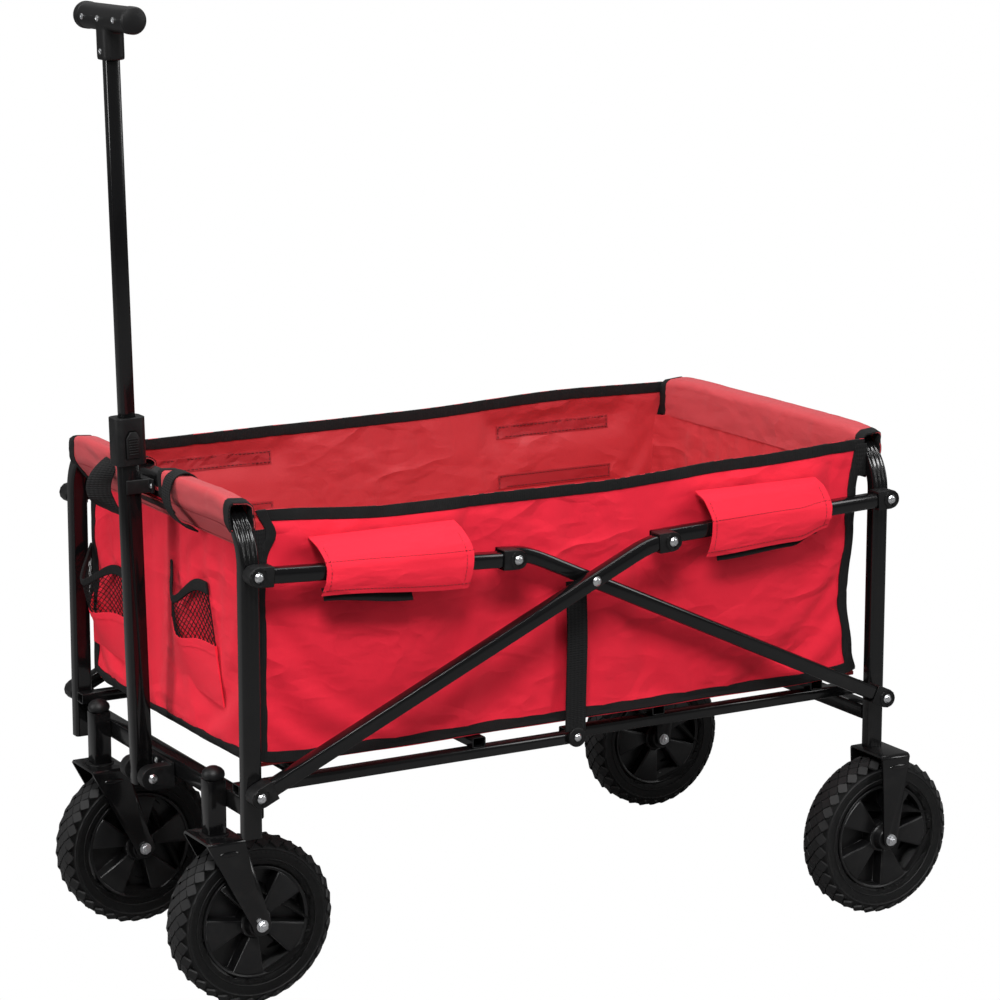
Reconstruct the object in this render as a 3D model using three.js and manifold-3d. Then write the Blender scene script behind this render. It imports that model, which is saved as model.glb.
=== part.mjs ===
// A folding wagon: a fabric bag hung between two U-shaped tube frames that a scissor of
// braces on each side holds apart, on two swivelling front wheels and two fixed rear wheels,
// with a telescoping pull handle hinged to the front beam.
// X runs from the handle end (-) to the rear (+), Y across the wagon, Z up from the ground.
import * as THREE from "three";
import { mergeVertices } from "three/addons/utils/BufferGeometryUtils.js";
import Module from "manifold-3d";

const wasm = await Module();
wasm.setup();

// ---- driving dimensions, in millimetres ----
const GAP = 0.3; // between pieces that touch
const MID_X = -12.5; // half way between the two U-frames
const HALF_SPAN = 387.5; // from there to either frame
const FRONT_X = MID_X - HALF_SPAN;
const REAR_X = MID_X + HALF_SPAN;

const LEG_Y = 219; // centre of a leg, from the middle of the wagon
const LEG_WIDE = 15; // leg tube across the wagon
const LEG_LONG = 20; // leg tube along the wagon
const LEG_BEND = 55; // centre-line radius of the top corners
const RAIL_Z = 535; // centre of the top rails
const FRONT_LEG_FOOT = 200;
const REAR_LEG_FOOT = 187.3;
const TUBE_WALL = 1.4;

const LOW_Z = 247.5; // lower pivots on the legs
const HIGH_Z = 475; // upper pivots on the legs
const CROSS_Z = 428.6; // where the braces cross, at rest
const ARM_X = 93.4; // from the crossing to the end of a brace's short arm
const ARM_Z = 461.6; // height of that end
const SIDE_TUBE = 16; // braces and links are square tubes
const SIDE_RADIUS = 3;

// How far outside the leg's centre plane each side tube runs, so that they fold past each other.
const OUTER_BRACE = { foot: 17.5, cross: 27.6, arm: 30 };
const INNER_BRACE = { foot: 18.5, cross: 7.4, arm: 4 };
const FRONT_LINK = { leg: 17.5, arm: 24.5 };
const REAR_LINK = { leg: 17.5, arm: 10.5 };

const CAP = { length: 17, height: 21, thickness: 18, tubeStart: 10, bareEnd: 8 };
// Where a brace bends: the corner is that far past the crossing, along X.
const BEND = { corner: 68.1, lead: 24, trail: 11.3, steps: 4 };

const WHEEL = { radius: 89, width: 42, rim: 61, rimWidth: 34, bead: 6, shoulder: 8 };
const HUB = { width: 54, radius: 12, root: 14 };
const BOLT = { radius: 4, head: 6, pivotHead: 7, headThick: 4 };
const FORK = { plate: 3, inner: 28, top: 185.7, shoulder: 4, hub: 11, half: 21 };
const REAR_FORK = { hub: 9, half: 18.5 };
const STEM = { radius: 6, length: 44 };
const CASTER = { x: -409, y: 149, trail: 39 };
const REAR_WHEEL = { x: 370, y: 235 };
const POST = { long: 20.8, wide: 20, wall: 2, foot: 187, top: 245 };
const POST_CAP = { radius: 12.5, brim: 4, top: 259 };

const BEAM = { front: -398.7, deep: 17, bottom: 215, top: 235 };
const REAR_BAR = { wide: 20, bottom: 217, top: 234 };
const BETWEEN_LEGS = LEG_Y - LEG_WIDE / 2 - GAP;

const HANDLE = { x: -424, z: 216, lean: 1.36, outerLong: 22, outerWide: 18, outerTop: 378 };
const INNER_TUBE = { long: 16.5, wide: 13, bottom: 339, top: 772 };
const COLLAR = { long: 34, wide: 28, bottom: 336, top: 386 };
const BUTTON = { wide: 15, tall: 28, z: 358, proud: 2.5, inset: 1, pocket: 4, tip: 3.5, slope: 7 };
const SLIDE_GAP = 0.4; // round the inner tube, where it slides
const GRIP = { z: 799.6, radius: 14, length: 130, round: 6, stem: 28, stemLong: 24, stemDrop: 43 };
const CLIP = { z: 528.5, tall: 15, wall: 2.5, flange: 8, thick: 3, grasp: 3, slack: 0.8 };
const BRACKET = { earIn: 16, earOut: 30, ear: 12.5, plate: 4, bottom: 204.5, top: 230.5 };

const BAG = { halfWidth: 208, cloth: 3, bottom: 266.5, endTop: 545, midTop: 524 };
const BAG_FRONT = -388.5; // outer face of the front panel, just behind the front legs
const BAG_REAR = 364.5; // outer face of the rear panel
const SLEEVE = { halfLength: 160, inner: 1, cloth: 2, clipGap: 32 };
const FLOOR = { rail: 16, tall: 12, frontRailY: 203, rearRailY: 186, nearBar: 60, farBar: 270 };
const FLOOR_THICK = 6;
const STRAP = { wide: 25, inner: 211.6, thick: 1.6, top: 420, bottom: 256 };

const MATERIALS = {
  paint: { color: 0x141416, roughness: 0.28, metalness: 0.4 },
  plastic: { color: 0x1b1b1d, roughness: 0.55, metalness: 0 },
  rim: { color: 0x161618, roughness: 0.35, metalness: 0 },
  rubber: { color: 0x1a1a1b, roughness: 0.85, metalness: 0 },
  steel: { color: 0xb9bcc0, roughness: 0.3, metalness: 1 },
  cloth: { color: 0xd22b45, roughness: 0.8, metalness: 0 },
  webbing: { color: 0x17171a, roughness: 0.9, metalness: 0 },
};

const wagon = new THREE.Group();
const X = new THREE.Vector3(1, 0, 0);
const Y = new THREE.Vector3(0, 1, 0);
const Z = new THREE.Vector3(0, 0, 1);
const SIDES = { left: -1, right: 1 }; // the wagon's left is the -Y side

// ---- helpers ----
function add(name, geometry, material, parent = wagon) {
  const mesh = new THREE.Mesh(geometry, new THREE.MeshStandardMaterial(MATERIALS[material]));
  mesh.name = name;
  parent.add(mesh);
  return mesh;
}

function solid(geometry) {
  const bare = geometry.clone();
  bare.deleteAttribute("normal");
  bare.deleteAttribute("uv");
  const merged = mergeVertices(bare, 1e-4);
  return new wasm.Manifold(
    new wasm.Mesh({
      numProp: 3,
      vertProperties: merged.attributes.position.array,
      triVerts: new Uint32Array(merged.index.array),
    }),
  );
}

function geometryOf(manifold) {
  const mesh = manifold.getMesh();
  const geometry = new THREE.BufferGeometry();
  geometry.setAttribute("position", new THREE.BufferAttribute(mesh.vertProperties, 3));
  geometry.setIndex(new THREE.BufferAttribute(mesh.triVerts, 1));
  geometry.computeVertexNormals();
  return geometry;
}

function join(...geometries) {
  return geometryOf(geometries.map(solid).reduce((whole, next) => whole.add(next)));
}

function cut(geometry, ...tools) {
  return geometryOf(tools.map(solid).reduce((rest, tool) => rest.subtract(tool), solid(geometry)));
}

function box(x, y, z) {
  // Each argument is [low, high].
  const size = [x, y, z].map(([low, high]) => high - low);
  const centre = [x, y, z].map(([low, high]) => (high + low) / 2);
  return new THREE.BoxGeometry(...size).translate(...centre);
}

function roundedRect(width, height, radius, wall = 0) {
  const outline = (target, w, h, r) => {
    target.absarc(w - r, h - r, r, 0, Math.PI / 2);
    target.absarc(r - w, h - r, r, Math.PI / 2, Math.PI);
    target.absarc(r - w, r - h, r, Math.PI, Math.PI * 1.5);
    target.absarc(w - r, r - h, r, Math.PI * 1.5, Math.PI * 2);
    target.closePath();
    return target;
  };
  const shape = outline(new THREE.Shape(), width / 2, height / 2, radius);
  if (wall > 0) {
    const inner = Math.max(radius - wall, 0.5);
    shape.holes.push(outline(new THREE.Path(), width / 2 - wall, height / 2 - wall, inner));
  }
  return shape;
}

// A straight bar from x = from to x = to: the section's own x lies along Y and its y along Z.
const SECTION_ALONG_X = new THREE.Matrix4().makeBasis(Y, Z, X);
function barAlongX(section, from, to, curveSegments = 1) {
  return new THREE.ExtrudeGeometry(section, { depth: to - from, bevelEnabled: false, curveSegments })
    .applyMatrix4(SECTION_ALONG_X)
    .translate(from, 0, 0);
}

// A straight bar from z = from to z = to: the section's own x lies along X and its y along Y.
function barAlongZ(section, from, to, curveSegments = 1) {
  return new THREE.ExtrudeGeometry(section, { depth: to - from, bevelEnabled: false, curveSegments })
    .translate(0, 0, from);
}

// An outline drawn in the XZ plane, made into a plate from y = from to y = to.
const OUTLINE_UPRIGHT = new THREE.Matrix4().makeBasis(X, Z, Y.clone().negate());
function plateAcross(outline, from, to, curveSegments = 4) {
  return new THREE.ExtrudeGeometry(outline, { depth: to - from, bevelEnabled: false, curveSegments })
    .applyMatrix4(OUTLINE_UPRIGHT)
    .translate(0, to, 0);
}

// A solid of revolution about Y, from [radius, y] points that close on themselves or on the axis.
function turned(profile, segments) {
  const points = profile.map(([radius, y]) => new THREE.Vector2(radius, y));
  return new THREE.LatheGeometry(points, segments);
}

function pin(radius, from, to, segments = 16) {
  return turned([[0, from], [radius, from], [radius, to], [0, to]], segments);
}

// A tube's centre line through chosen stations, with the section mitred at each of them.
class Route extends THREE.Curve {
  constructor(stations) {
    super();
    this.stations = stations;
  }
  getUtoTmapping(u) {
    return u;
  }
  station(t) {
    return Math.round(t * (this.stations.length - 1));
  }
  getPoint(t, target = new THREE.Vector3()) {
    return target.copy(this.stations[this.station(t)]);
  }
  getTangent(t, target = new THREE.Vector3()) {
    const at = this.station(t);
    const here = this.stations[at];
    const before = this.stations[at - 1];
    const after = this.stations[at + 1];
    target.set(0, 0, 0);
    if (before) target.add(here.clone().sub(before).normalize());
    if (after) target.add(after.clone().sub(here).normalize());
    return target.normalize();
  }
}

function tubeThrough(stations, section, curveSegments = 1) {
  return new THREE.ExtrudeGeometry(section, {
    extrudePath: new Route(stations),
    steps: stations.length - 1,
    curveSegments,
  });
}

// Stands a mesh made along +X from its own origin at `from`, pointing at `to`, as upright as it can.
function pointAlong(mesh, from, to) {
  const along = to.clone().sub(from).normalize();
  const up = along.clone().cross(Y).normalize();
  const across = up.clone().cross(along).normalize();
  mesh.quaternion.setFromRotationMatrix(new THREE.Matrix4().makeBasis(along, across, up));
  mesh.position.copy(from);
}

function stepAlong(from, to, distance) {
  return from.clone().add(to.clone().sub(from).setLength(distance));
}

// ---- the two U-frames ----
function uFrame(name, x, foot) {
  const centre = LEG_Y - LEG_BEND;
  const bendZ = RAIL_Z - LEG_BEND;
  const bendSteps = 6;
  const stations = [new THREE.Vector3(x, -LEG_Y, foot)];
  for (let i = 0; i <= bendSteps; i++) {
    const turn = (i / bendSteps) * (Math.PI / 2);
    const y = -centre - LEG_BEND * Math.cos(turn);
    stations.push(new THREE.Vector3(x, y, bendZ + LEG_BEND * Math.sin(turn)));
  }
  const rightHalf = stations.map((p) => new THREE.Vector3(p.x, -p.y, p.z)).reverse();
  const section = roundedRect(LEG_WIDE, LEG_LONG, 3, TUBE_WALL);
  add(name, tubeThrough([...stations, ...rightHalf], section), "paint");
}

function rearCrossbar() {
  const section = roundedRect(REAR_BAR.wide, REAR_BAR.top - REAR_BAR.bottom, 2, TUBE_WALL);
  const bar = barAlongX(section, -BETWEEN_LEGS, BETWEEN_LEGS).rotateZ(Math.PI / 2);
  bar.translate(REAR_X, 0, (REAR_BAR.bottom + REAR_BAR.top) / 2);
  add("rear_crossbar", bar, "paint");
}

// The front beam carries the two square posts that the caster stems turn in.
function frontBeam() {
  const middle = BEAM.front + BEAM.deep / 2;
  const section = roundedRect(BEAM.deep, BEAM.top - BEAM.bottom, 2, TUBE_WALL);
  const bar = barAlongX(section, -BETWEEN_LEGS, BETWEEN_LEGS).rotateZ(Math.PI / 2);
  bar.translate(middle, 0, (BEAM.bottom + BEAM.top) / 2);
  const posts = Object.values(SIDES).map((side) =>
    barAlongZ(roundedRect(POST.long, POST.wide, 2, POST.wall), POST.foot, POST.top)
      .translate(CASTER.x, side * CASTER.y, 0),
  );
  add("front_beam", join(bar, ...posts), "paint");
}

function postCap(name, side) {
  const base = POST.top + GAP;
  const dome = POST_CAP.top - base - POST_CAP.brim;
  const profile = [[0, base], [POST_CAP.radius - 2, base]];
  const steps = 4;
  for (let i = 0; i <= steps; i++) {
    const turn = (i / steps) * (Math.PI / 2);
    const radius = POST_CAP.radius * Math.cos(turn);
    profile.push([radius, base + POST_CAP.brim + dome * Math.sin(turn)]);
  }
  profile[profile.length - 1][0] = 0;
  const cap = turned(profile, 14).rotateX(Math.PI / 2);
  cap.translate(CASTER.x, side * CASTER.y, 0);
  add(name, cap, "plastic");
}

// ---- wheels ----
// The tread is 28 flats round, and one flat is at the bottom, where the wheel stands.
function tyreAndRim(prefix, x, y) {
  const flats = 28;
  const outer = WHEEL.radius / Math.cos(Math.PI / flats);
  const half = WHEEL.width / 2;
  const seatHalf = half - WHEEL.bead;
  const treadHalf = half - WHEEL.shoulder + 1;
  const tyre = turned(
    [
      [WHEEL.rim, -seatHalf], [WHEEL.rim + 5, -half], [outer - WHEEL.shoulder, -half],
      [outer, -treadHalf], [outer, treadHalf], [outer - WHEEL.shoulder, half],
      [WHEEL.rim + 5, half], [WHEEL.rim, seatHalf], [WHEEL.rim, -seatHalf],
    ],
    flats,
  ).rotateY(Math.PI / flats);
  tyre.translate(x, y, WHEEL.radius);
  add(`${prefix}_tyre`, tyre, "rubber");

  const seat = WHEEL.rim * Math.cos(Math.PI / flats) - GAP;
  const face = WHEEL.rimWidth / 2;
  const hub = HUB.width / 2;
  const bore = BOLT.radius + GAP;
  const lip = seat - 5;
  const web = seat - 8;
  const rim = turned(
    [
      [bore, -hub], [HUB.radius, -hub], [HUB.root, -face], [web, -face + 8], [lip, -seatHalf],
      [seat, -seatHalf], [seat, seatHalf], [lip, seatHalf], [web, face - 8], [HUB.root, face],
      [HUB.radius, hub], [bore, hub], [bore, -hub],
    ],
    flats / 2,
  ).rotateY(Math.PI / flats);
  rim.translate(x, y, WHEEL.radius);
  add(`${prefix}_rim`, rim, "rim");
}

// A bolt across the wagon, from -reach to reach, with a round head on each end.
function boltAcross(reach, head) {
  const end = reach + BOLT.headThick;
  return turned(
    [
      [0, -end], [head, -end], [head, -reach], [BOLT.radius, -reach],
      [BOLT.radius, reach], [head, reach], [head, end], [0, end],
    ],
    12,
  );
}

function axleBolt(prefix, x, y) {
  const bolt = boltAcross(FORK.inner + FORK.plate + GAP, BOLT.head);
  add(`${prefix}_axle_bolt`, bolt.translate(x, y, WHEEL.radius), "steel");
}

// A bent plate over the wheel: a flat top and two arms that taper down to the axle.
function forkPlate(topX, topZ, hubX, topHalf, hubRadius) {
  const shoulder = topZ - FORK.shoulder;
  const outline = new THREE.Shape();
  outline.moveTo(topX - topHalf, topZ);
  outline.lineTo(topX - topHalf, shoulder);
  outline.lineTo(hubX - hubRadius, WHEEL.radius);
  outline.absarc(hubX, WHEEL.radius, hubRadius, Math.PI, Math.PI * 2);
  outline.lineTo(topX + topHalf, shoulder);
  outline.lineTo(topX + topHalf, topZ);
  outline.closePath();
  const outer = FORK.inner + FORK.plate;
  const arms = [-outer, FORK.inner].map((y) => plateAcross(outline, y, y + FORK.plate, 3));
  const top = box([topX - topHalf, topX + topHalf], [-outer, outer], [topZ - FORK.plate, topZ]);
  const hole = pin(BOLT.radius + GAP, -outer - 1, outer + 1, 12);
  return cut(join(top, ...arms), hole.translate(hubX, 0, WHEEL.radius));
}

function casterFork(name, side) {
  const hubX = CASTER.x + CASTER.trail;
  const stem = pin(STEM.radius, 0, STEM.length, 12).rotateX(Math.PI / 2);
  stem.translate(CASTER.x, 0, FORK.top - 1);
  const fork = join(forkPlate(CASTER.x, FORK.top, hubX, FORK.half, FORK.hub), stem);
  add(name, fork.translate(0, side * CASTER.y, 0), "paint");
}

function rearFork(name, side) {
  const top = REAR_LEG_FOOT - GAP;
  const fork = forkPlate(REAR_X, top, REAR_WHEEL.x, REAR_FORK.half, REAR_FORK.hub);
  add(name, fork.translate(0, side * REAR_WHEEL.y, 0), "paint");
}

// ---- side linkage ----
const capOutline = new THREE.Shape();
capOutline.absarc(0, 0, CAP.height / 2, Math.PI / 2, Math.PI * 1.5);
capOutline.lineTo(CAP.length, -CAP.height / 2);
capOutline.lineTo(CAP.length, CAP.height / 2);
capOutline.closePath();

// A moulded end cap: it takes the tube's end in a socket, and its round end sits on the pivot.
function endCap(name, pivot, towards) {
  const block = plateAcross(capOutline, -CAP.thickness / 2, CAP.thickness / 2, 3);
  const room = SIDE_TUBE + 2 * GAP;
  const socket = barAlongX(roundedRect(room, room, SIDE_RADIUS), CAP.tubeStart - GAP, CAP.length + 1);
  const mesh = add(name, cut(block, socket), "plastic");
  pointAlong(mesh, pivot, towards);
}

function sideTube(name, stations) {
  const section = roundedRect(SIDE_TUBE, SIDE_TUBE, SIDE_RADIUS, TUBE_WALL);
  add(name, tubeThrough(stations, section), "paint");
}

// A brace runs straight from its foot past the crossing, then bends into line with the link it
// meets: stations from `fromFoot` past the foot to `beforeArm` short of the arm's pivot.
function braceStations(foot, cross, arm, fromFoot, beforeArm) {
  const corner = stepAlong(cross, foot, -BEND.corner * (cross.distanceTo(foot) / HALF_SPAN));
  const bend = new THREE.QuadraticBezierCurve3(
    stepAlong(corner, cross, BEND.lead), corner, stepAlong(corner, arm, BEND.trail),
  );
  return [
    stepAlong(foot, cross, fromFoot), ...bend.getPoints(BEND.steps), stepAlong(arm, corner, beforeArm),
  ];
}

function sideLinkage(sideName, side) {
  const at = (x, offset, z) => new THREE.Vector3(x, side * (LEG_Y + offset), z);

  const outerFoot = at(FRONT_X, OUTER_BRACE.foot, LOW_Z);
  const outerCross = at(MID_X, OUTER_BRACE.cross, CROSS_Z);
  const outerArm = at(MID_X + ARM_X, OUTER_BRACE.arm, ARM_Z);
  const outer = braceStations(outerFoot, outerCross, outerArm, CAP.tubeStart, CAP.tubeStart);
  sideTube(`outer_brace_${sideName}`, outer);
  endCap(`outer_brace_foot_cap_${sideName}`, outerFoot, outerCross);
  endCap(`outer_brace_arm_cap_${sideName}`, outerArm, outer.at(-2));

  const innerFoot = at(REAR_X, INNER_BRACE.foot, LOW_Z);
  const innerCross = at(MID_X, INNER_BRACE.cross, CROSS_Z);
  const innerArm = at(MID_X - ARM_X, INNER_BRACE.arm, ARM_Z);
  const inner = braceStations(innerFoot, innerCross, innerArm, CAP.tubeStart, -CAP.bareEnd);
  sideTube(`inner_brace_${sideName}`, inner);
  endCap(`inner_brace_foot_cap_${sideName}`, innerFoot, innerCross);

  const frontLeg = at(FRONT_X, FRONT_LINK.leg, HIGH_Z);
  const frontArm = at(MID_X - ARM_X, FRONT_LINK.arm, ARM_Z);
  sideTube(`front_link_${sideName}`, [
    stepAlong(frontLeg, frontArm, CAP.tubeStart), stepAlong(frontArm, frontLeg, CAP.tubeStart),
  ]);
  endCap(`front_link_leg_cap_${sideName}`, frontLeg, frontArm);
  endCap(`front_link_arm_cap_${sideName}`, frontArm, frontLeg);

  const rearLeg = at(REAR_X, REAR_LINK.leg, HIGH_Z);
  const rearArm = at(MID_X + ARM_X, REAR_LINK.arm, ARM_Z);
  sideTube(`rear_link_${sideName}`, [
    stepAlong(rearLeg, rearArm, CAP.tubeStart), stepAlong(rearArm, rearLeg, -CAP.bareEnd),
  ]);
  endCap(`rear_link_leg_cap_${sideName}`, rearLeg, rearArm);
}

// ---- folding floor frames: two rails with two bars welded across the top of them ----
function floorFrame(name, pivotX, direction, railY) {
  const section = roundedRect(FLOOR.rail, FLOOR.tall, 2, TUBE_WALL);
  const ends = [-9, HALF_SPAN].map((d) => pivotX + direction * d).sort((a, b) => a - b);
  const rails = [-railY, railY].map((y) => barAlongX(section, ...ends).translate(0, y, LOW_Z));
  const half = railY + FLOOR.rail / 2;
  const bars = [FLOOR.nearBar, FLOOR.farBar].map((d) =>
    barAlongX(section, -half, half)
      .rotateZ(Math.PI / 2)
      .translate(pivotX + direction * d, 0, LOW_Z + FLOOR.tall - 0.1),
  );
  add(name, join(...rails, ...bars), "paint");
}

// ---- pull handle ----
// The whole handle is drawn upright on its pivot, then leans a little forward.
const handle = new THREE.Group();
handle.position.set(HANDLE.x, 0, HANDLE.z);
handle.rotation.y = THREE.MathUtils.degToRad(-HANDLE.lean);
wagon.add(handle);

function handleTubes() {
  const outerSection = roundedRect(HANDLE.outerLong, HANDLE.outerWide, 4, TUBE_WALL);
  const outer = barAlongZ(outerSection, -11, HANDLE.outerTop);
  const boltHole = pin(BOLT.radius + GAP, -HANDLE.outerWide, HANDLE.outerWide, 12);
  add("handle_outer_tube", cut(outer, boltHole), "paint", handle);
  const inner = barAlongZ(
    roundedRect(INNER_TUBE.long, INNER_TUBE.wide, 3, TUBE_WALL), INNER_TUBE.bottom, INNER_TUBE.top,
  );
  add("handle_inner_tube", inner, "paint", handle);
}

function collarAndButton() {
  const shell = barAlongZ(roundedRect(COLLAR.long, COLLAR.wide, 8), COLLAR.bottom, COLLAR.top, 2);
  const lower = barAlongZ(
    roundedRect(HANDLE.outerLong + 2 * GAP, HANDLE.outerWide + 2 * GAP, 4),
    COLLAR.bottom - 1, HANDLE.outerTop + GAP,
  );
  const upper = barAlongZ(
    roundedRect(INNER_TUBE.long + 2 * SLIDE_GAP, INNER_TUBE.wide + 2 * SLIDE_GAP, 3),
    COLLAR.bottom, COLLAR.top + 1,
  );
  const face = -COLLAR.wide / 2;
  const half = BUTTON.wide / 2;
  const tall = BUTTON.tall / 2;
  const house = (grow) => {
    const outline = new THREE.Shape();
    outline.moveTo(-half - grow, -tall - grow);
    outline.lineTo(half + grow, -tall - grow);
    outline.lineTo(half + grow, tall - BUTTON.slope);
    outline.lineTo(BUTTON.tip, tall + grow);
    outline.lineTo(-BUTTON.tip, tall + grow);
    outline.lineTo(-half - grow, tall - BUTTON.slope);
    outline.closePath();
    return outline;
  };
  const pocket = plateAcross(house(GAP * 2), face - 1, face + BUTTON.pocket);
  pocket.translate(0, 0, BUTTON.z);
  add("handle_collar", cut(shell, lower, upper, pocket), "plastic", handle);
  const button = plateAcross(house(0), face - BUTTON.proud, face + BUTTON.inset);
  add("lock_button", button.translate(0, 0, BUTTON.z), "plastic", handle);
}

function grip() {
  const half = GRIP.length / 2;
  const flat = half - GRIP.round;
  const face = GRIP.radius - GRIP.round;
  const profile = [
    [0, -half], [face, -half], [GRIP.radius - 2, -half + 2], [GRIP.radius, -flat],
    [GRIP.radius, flat], [GRIP.radius - 2, half - 2], [face, half], [0, half],
  ];
  const bar = turned(profile, 18).translate(0, 0, GRIP.z);
  const stem = barAlongZ(
    roundedRect(GRIP.stemLong, GRIP.stem, 7), GRIP.z - GRIP.stemDrop, GRIP.z, 2,
  );
  const socket = barAlongZ(
    roundedRect(INNER_TUBE.long + 2 * GAP, INNER_TUBE.wide + 2 * GAP, 3),
    GRIP.z - GRIP.stemDrop - 1, INNER_TUBE.top + GAP,
  );
  add("handle_grip", cut(join(bar, stem), socket), "plastic", handle);
}

// The bracket's two round ears stand out of a plate on the front beam, with the handle between them.
function bracket() {
  const plateFace = BEAM.front - GAP;
  const plate = box(
    [plateFace - BRACKET.plate, plateFace], [-BRACKET.earOut, BRACKET.earOut],
    [BRACKET.bottom, BRACKET.top],
  );
  const outline = new THREE.Shape();
  outline.moveTo(plateFace - 1, HANDLE.z - BRACKET.ear);
  outline.lineTo(plateFace - 1, HANDLE.z + BRACKET.ear);
  outline.lineTo(HANDLE.x, HANDLE.z + BRACKET.ear);
  outline.absarc(HANDLE.x, HANDLE.z, BRACKET.ear, Math.PI / 2, Math.PI * 1.5);
  outline.closePath();
  const ears = [-BRACKET.earOut, BRACKET.earIn].map((y) =>
    plateAcross(outline, y, y + BRACKET.earOut - BRACKET.earIn),
  );
  const hole = pin(BOLT.radius + GAP, -BRACKET.earOut - 1, BRACKET.earOut + 1, 12);
  hole.translate(HANDLE.x, 0, HANDLE.z);
  add("handle_bracket", cut(join(plate, ...ears), hole), "plastic");
  const bolt = boltAcross(BRACKET.earOut + GAP, BOLT.pivotHead);
  add("handle_pivot_bolt", bolt.translate(HANDLE.x, 0, HANDLE.z), "steel");
}

// An open clip on the front rail that the handle snaps into when it stands upright.
function clip() {
  const lean = (CLIP.z - HANDLE.z) * Math.tan(THREE.MathUtils.degToRad(HANDLE.lean));
  const tubeX = HANDLE.x - lean;
  const armEnd = tubeX - HANDLE.outerLong / 2 + CLIP.grasp;
  const back = FRONT_X - LEG_LONG / 2 - GAP;
  const inside = HANDLE.outerWide / 2 + CLIP.slack;
  const floor = tubeX + HANDLE.outerLong / 2 + 1;
  const half = [
    [back, inside + CLIP.flange], [back - CLIP.thick, inside + CLIP.flange],
    [back - CLIP.thick - 1, inside + CLIP.wall], [armEnd, inside + CLIP.wall],
    [armEnd, inside], [floor, inside],
  ];
  const otherHalf = half.map(([x, y]) => [x, -y]).reverse();
  const outline = new THREE.Shape([...half, ...otherHalf].map(([x, y]) => new THREE.Vector2(x, y)));
  add("handle_clip", barAlongZ(outline, CLIP.z - CLIP.tall / 2, CLIP.z + CLIP.tall / 2), "plastic");
}

// ---- bag ----
// An end panel hangs behind its legs from a sleeve that wraps the top rail.
function endPanel(name, railX, outerFace, inward, withClipGap) {
  const innerFace = outerFace + inward * BAG.cloth;
  const faces = [outerFace, innerFace].sort((a, b) => a - b);
  const side = BAG.halfWidth - 1;
  const plate = box(faces, [-side, side], [BAG.bottom, BAG.endTop - 4]);
  const long = LEG_LONG + 2 * (SLEEVE.inner + SLEEVE.cloth);
  const tall = LEG_WIDE + 2 * (SLEEVE.inner + SLEEVE.cloth);
  const ringSection = roundedRect(long, tall, 4, SLEEVE.cloth);
  const ring = barAlongX(ringSection, -SLEEVE.halfLength, SLEEVE.halfLength).rotateZ(Math.PI / 2);
  ring.translate(railX, 0, RAIL_Z);
  const room = LEG_LONG / 2 + SLEEVE.inner;
  const railRoom = box(
    [railX - room, railX + room], [-LEG_Y, LEG_Y],
    [RAIL_Z - LEG_WIDE / 2 - SLEEVE.inner, RAIL_Z + LEG_WIDE / 2 + SLEEVE.inner],
  );
  let panel = cut(join(plate, ring), railRoom);
  if (withClipGap) {
    const clipRoom = box(
      [railX - long, outerFace - 0.5], [-SLEEVE.clipGap, SLEEVE.clipGap],
      [RAIL_Z - tall, RAIL_Z + tall],
    );
    panel = cut(panel, clipRoom);
  }
  add(name, panel, "cloth");
}

function sidePanel(name, side) {
  const front = BAG_FRONT + BAG.cloth + 0.5;
  const rear = BAG_REAR - BAG.cloth - 0.5;
  const outline = new THREE.Shape();
  outline.moveTo(front, BAG.bottom);
  outline.lineTo(rear, BAG.bottom);
  outline.lineTo(rear, BAG.endTop - 6);
  outline.quadraticCurveTo((front + rear) / 2, 2 * BAG.midTop - BAG.endTop + 6, front, BAG.endTop - 6);
  outline.closePath();
  const faces = [side * (BAG.halfWidth - BAG.cloth), side * BAG.halfWidth].sort((a, b) => a - b);
  add(name, plateAcross(outline, ...faces, 6), "cloth");
}

function bagFloor() {
  const side = BAG.halfWidth - BAG.cloth - 0.5;
  const floor = box(
    [BAG_FRONT + BAG.cloth + 0.5, BAG_REAR - BAG.cloth - 0.5], [-side, side],
    [BAG.bottom, BAG.bottom + FLOOR_THICK],
  );
  add("bag_floor", floor, "cloth");
}

function centreStrap(name, side) {
  const faces = [side * STRAP.inner, side * (STRAP.inner + STRAP.thick)].sort((a, b) => a - b);
  const half = STRAP.wide / 2;
  add(name, box([MID_X - half, MID_X + half], faces, [STRAP.bottom, STRAP.top]), "webbing");
}

// ---- assembly ----
uFrame("front_u_frame", FRONT_X, FRONT_LEG_FOOT);
uFrame("rear_u_frame", REAR_X, REAR_LEG_FOOT);
rearCrossbar();
frontBeam();
floorFrame("floor_frame_front", FRONT_X, 1, FLOOR.frontRailY);
floorFrame("floor_frame_rear", REAR_X, -1, FLOOR.rearRailY);
handleTubes();
collarAndButton();
grip();
bracket();
clip();
endPanel("bag_front_panel", FRONT_X, BAG_FRONT, 1, true);
endPanel("bag_rear_panel", REAR_X, BAG_REAR, -1, false);
bagFloor();
for (const [sideName, side] of Object.entries(SIDES)) {
  postCap(`post_cap_${sideName}`, side);
  casterFork(`caster_fork_${sideName}`, side);
  tyreAndRim(`front_${sideName}`, CASTER.x + CASTER.trail, side * CASTER.y);
  axleBolt(`front_${sideName}`, CASTER.x + CASTER.trail, side * CASTER.y);
  rearFork(`rear_fork_${sideName}`, side);
  tyreAndRim(`rear_${sideName}`, REAR_WHEEL.x, side * REAR_WHEEL.y);
  axleBolt(`rear_${sideName}`, REAR_WHEEL.x, side * REAR_WHEEL.y);
  sideLinkage(sideName, side);
  sidePanel(`bag_side_${sideName}`, side);
  centreStrap(`centre_strap_${sideName}`, side);
}

export default wagon;
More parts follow.
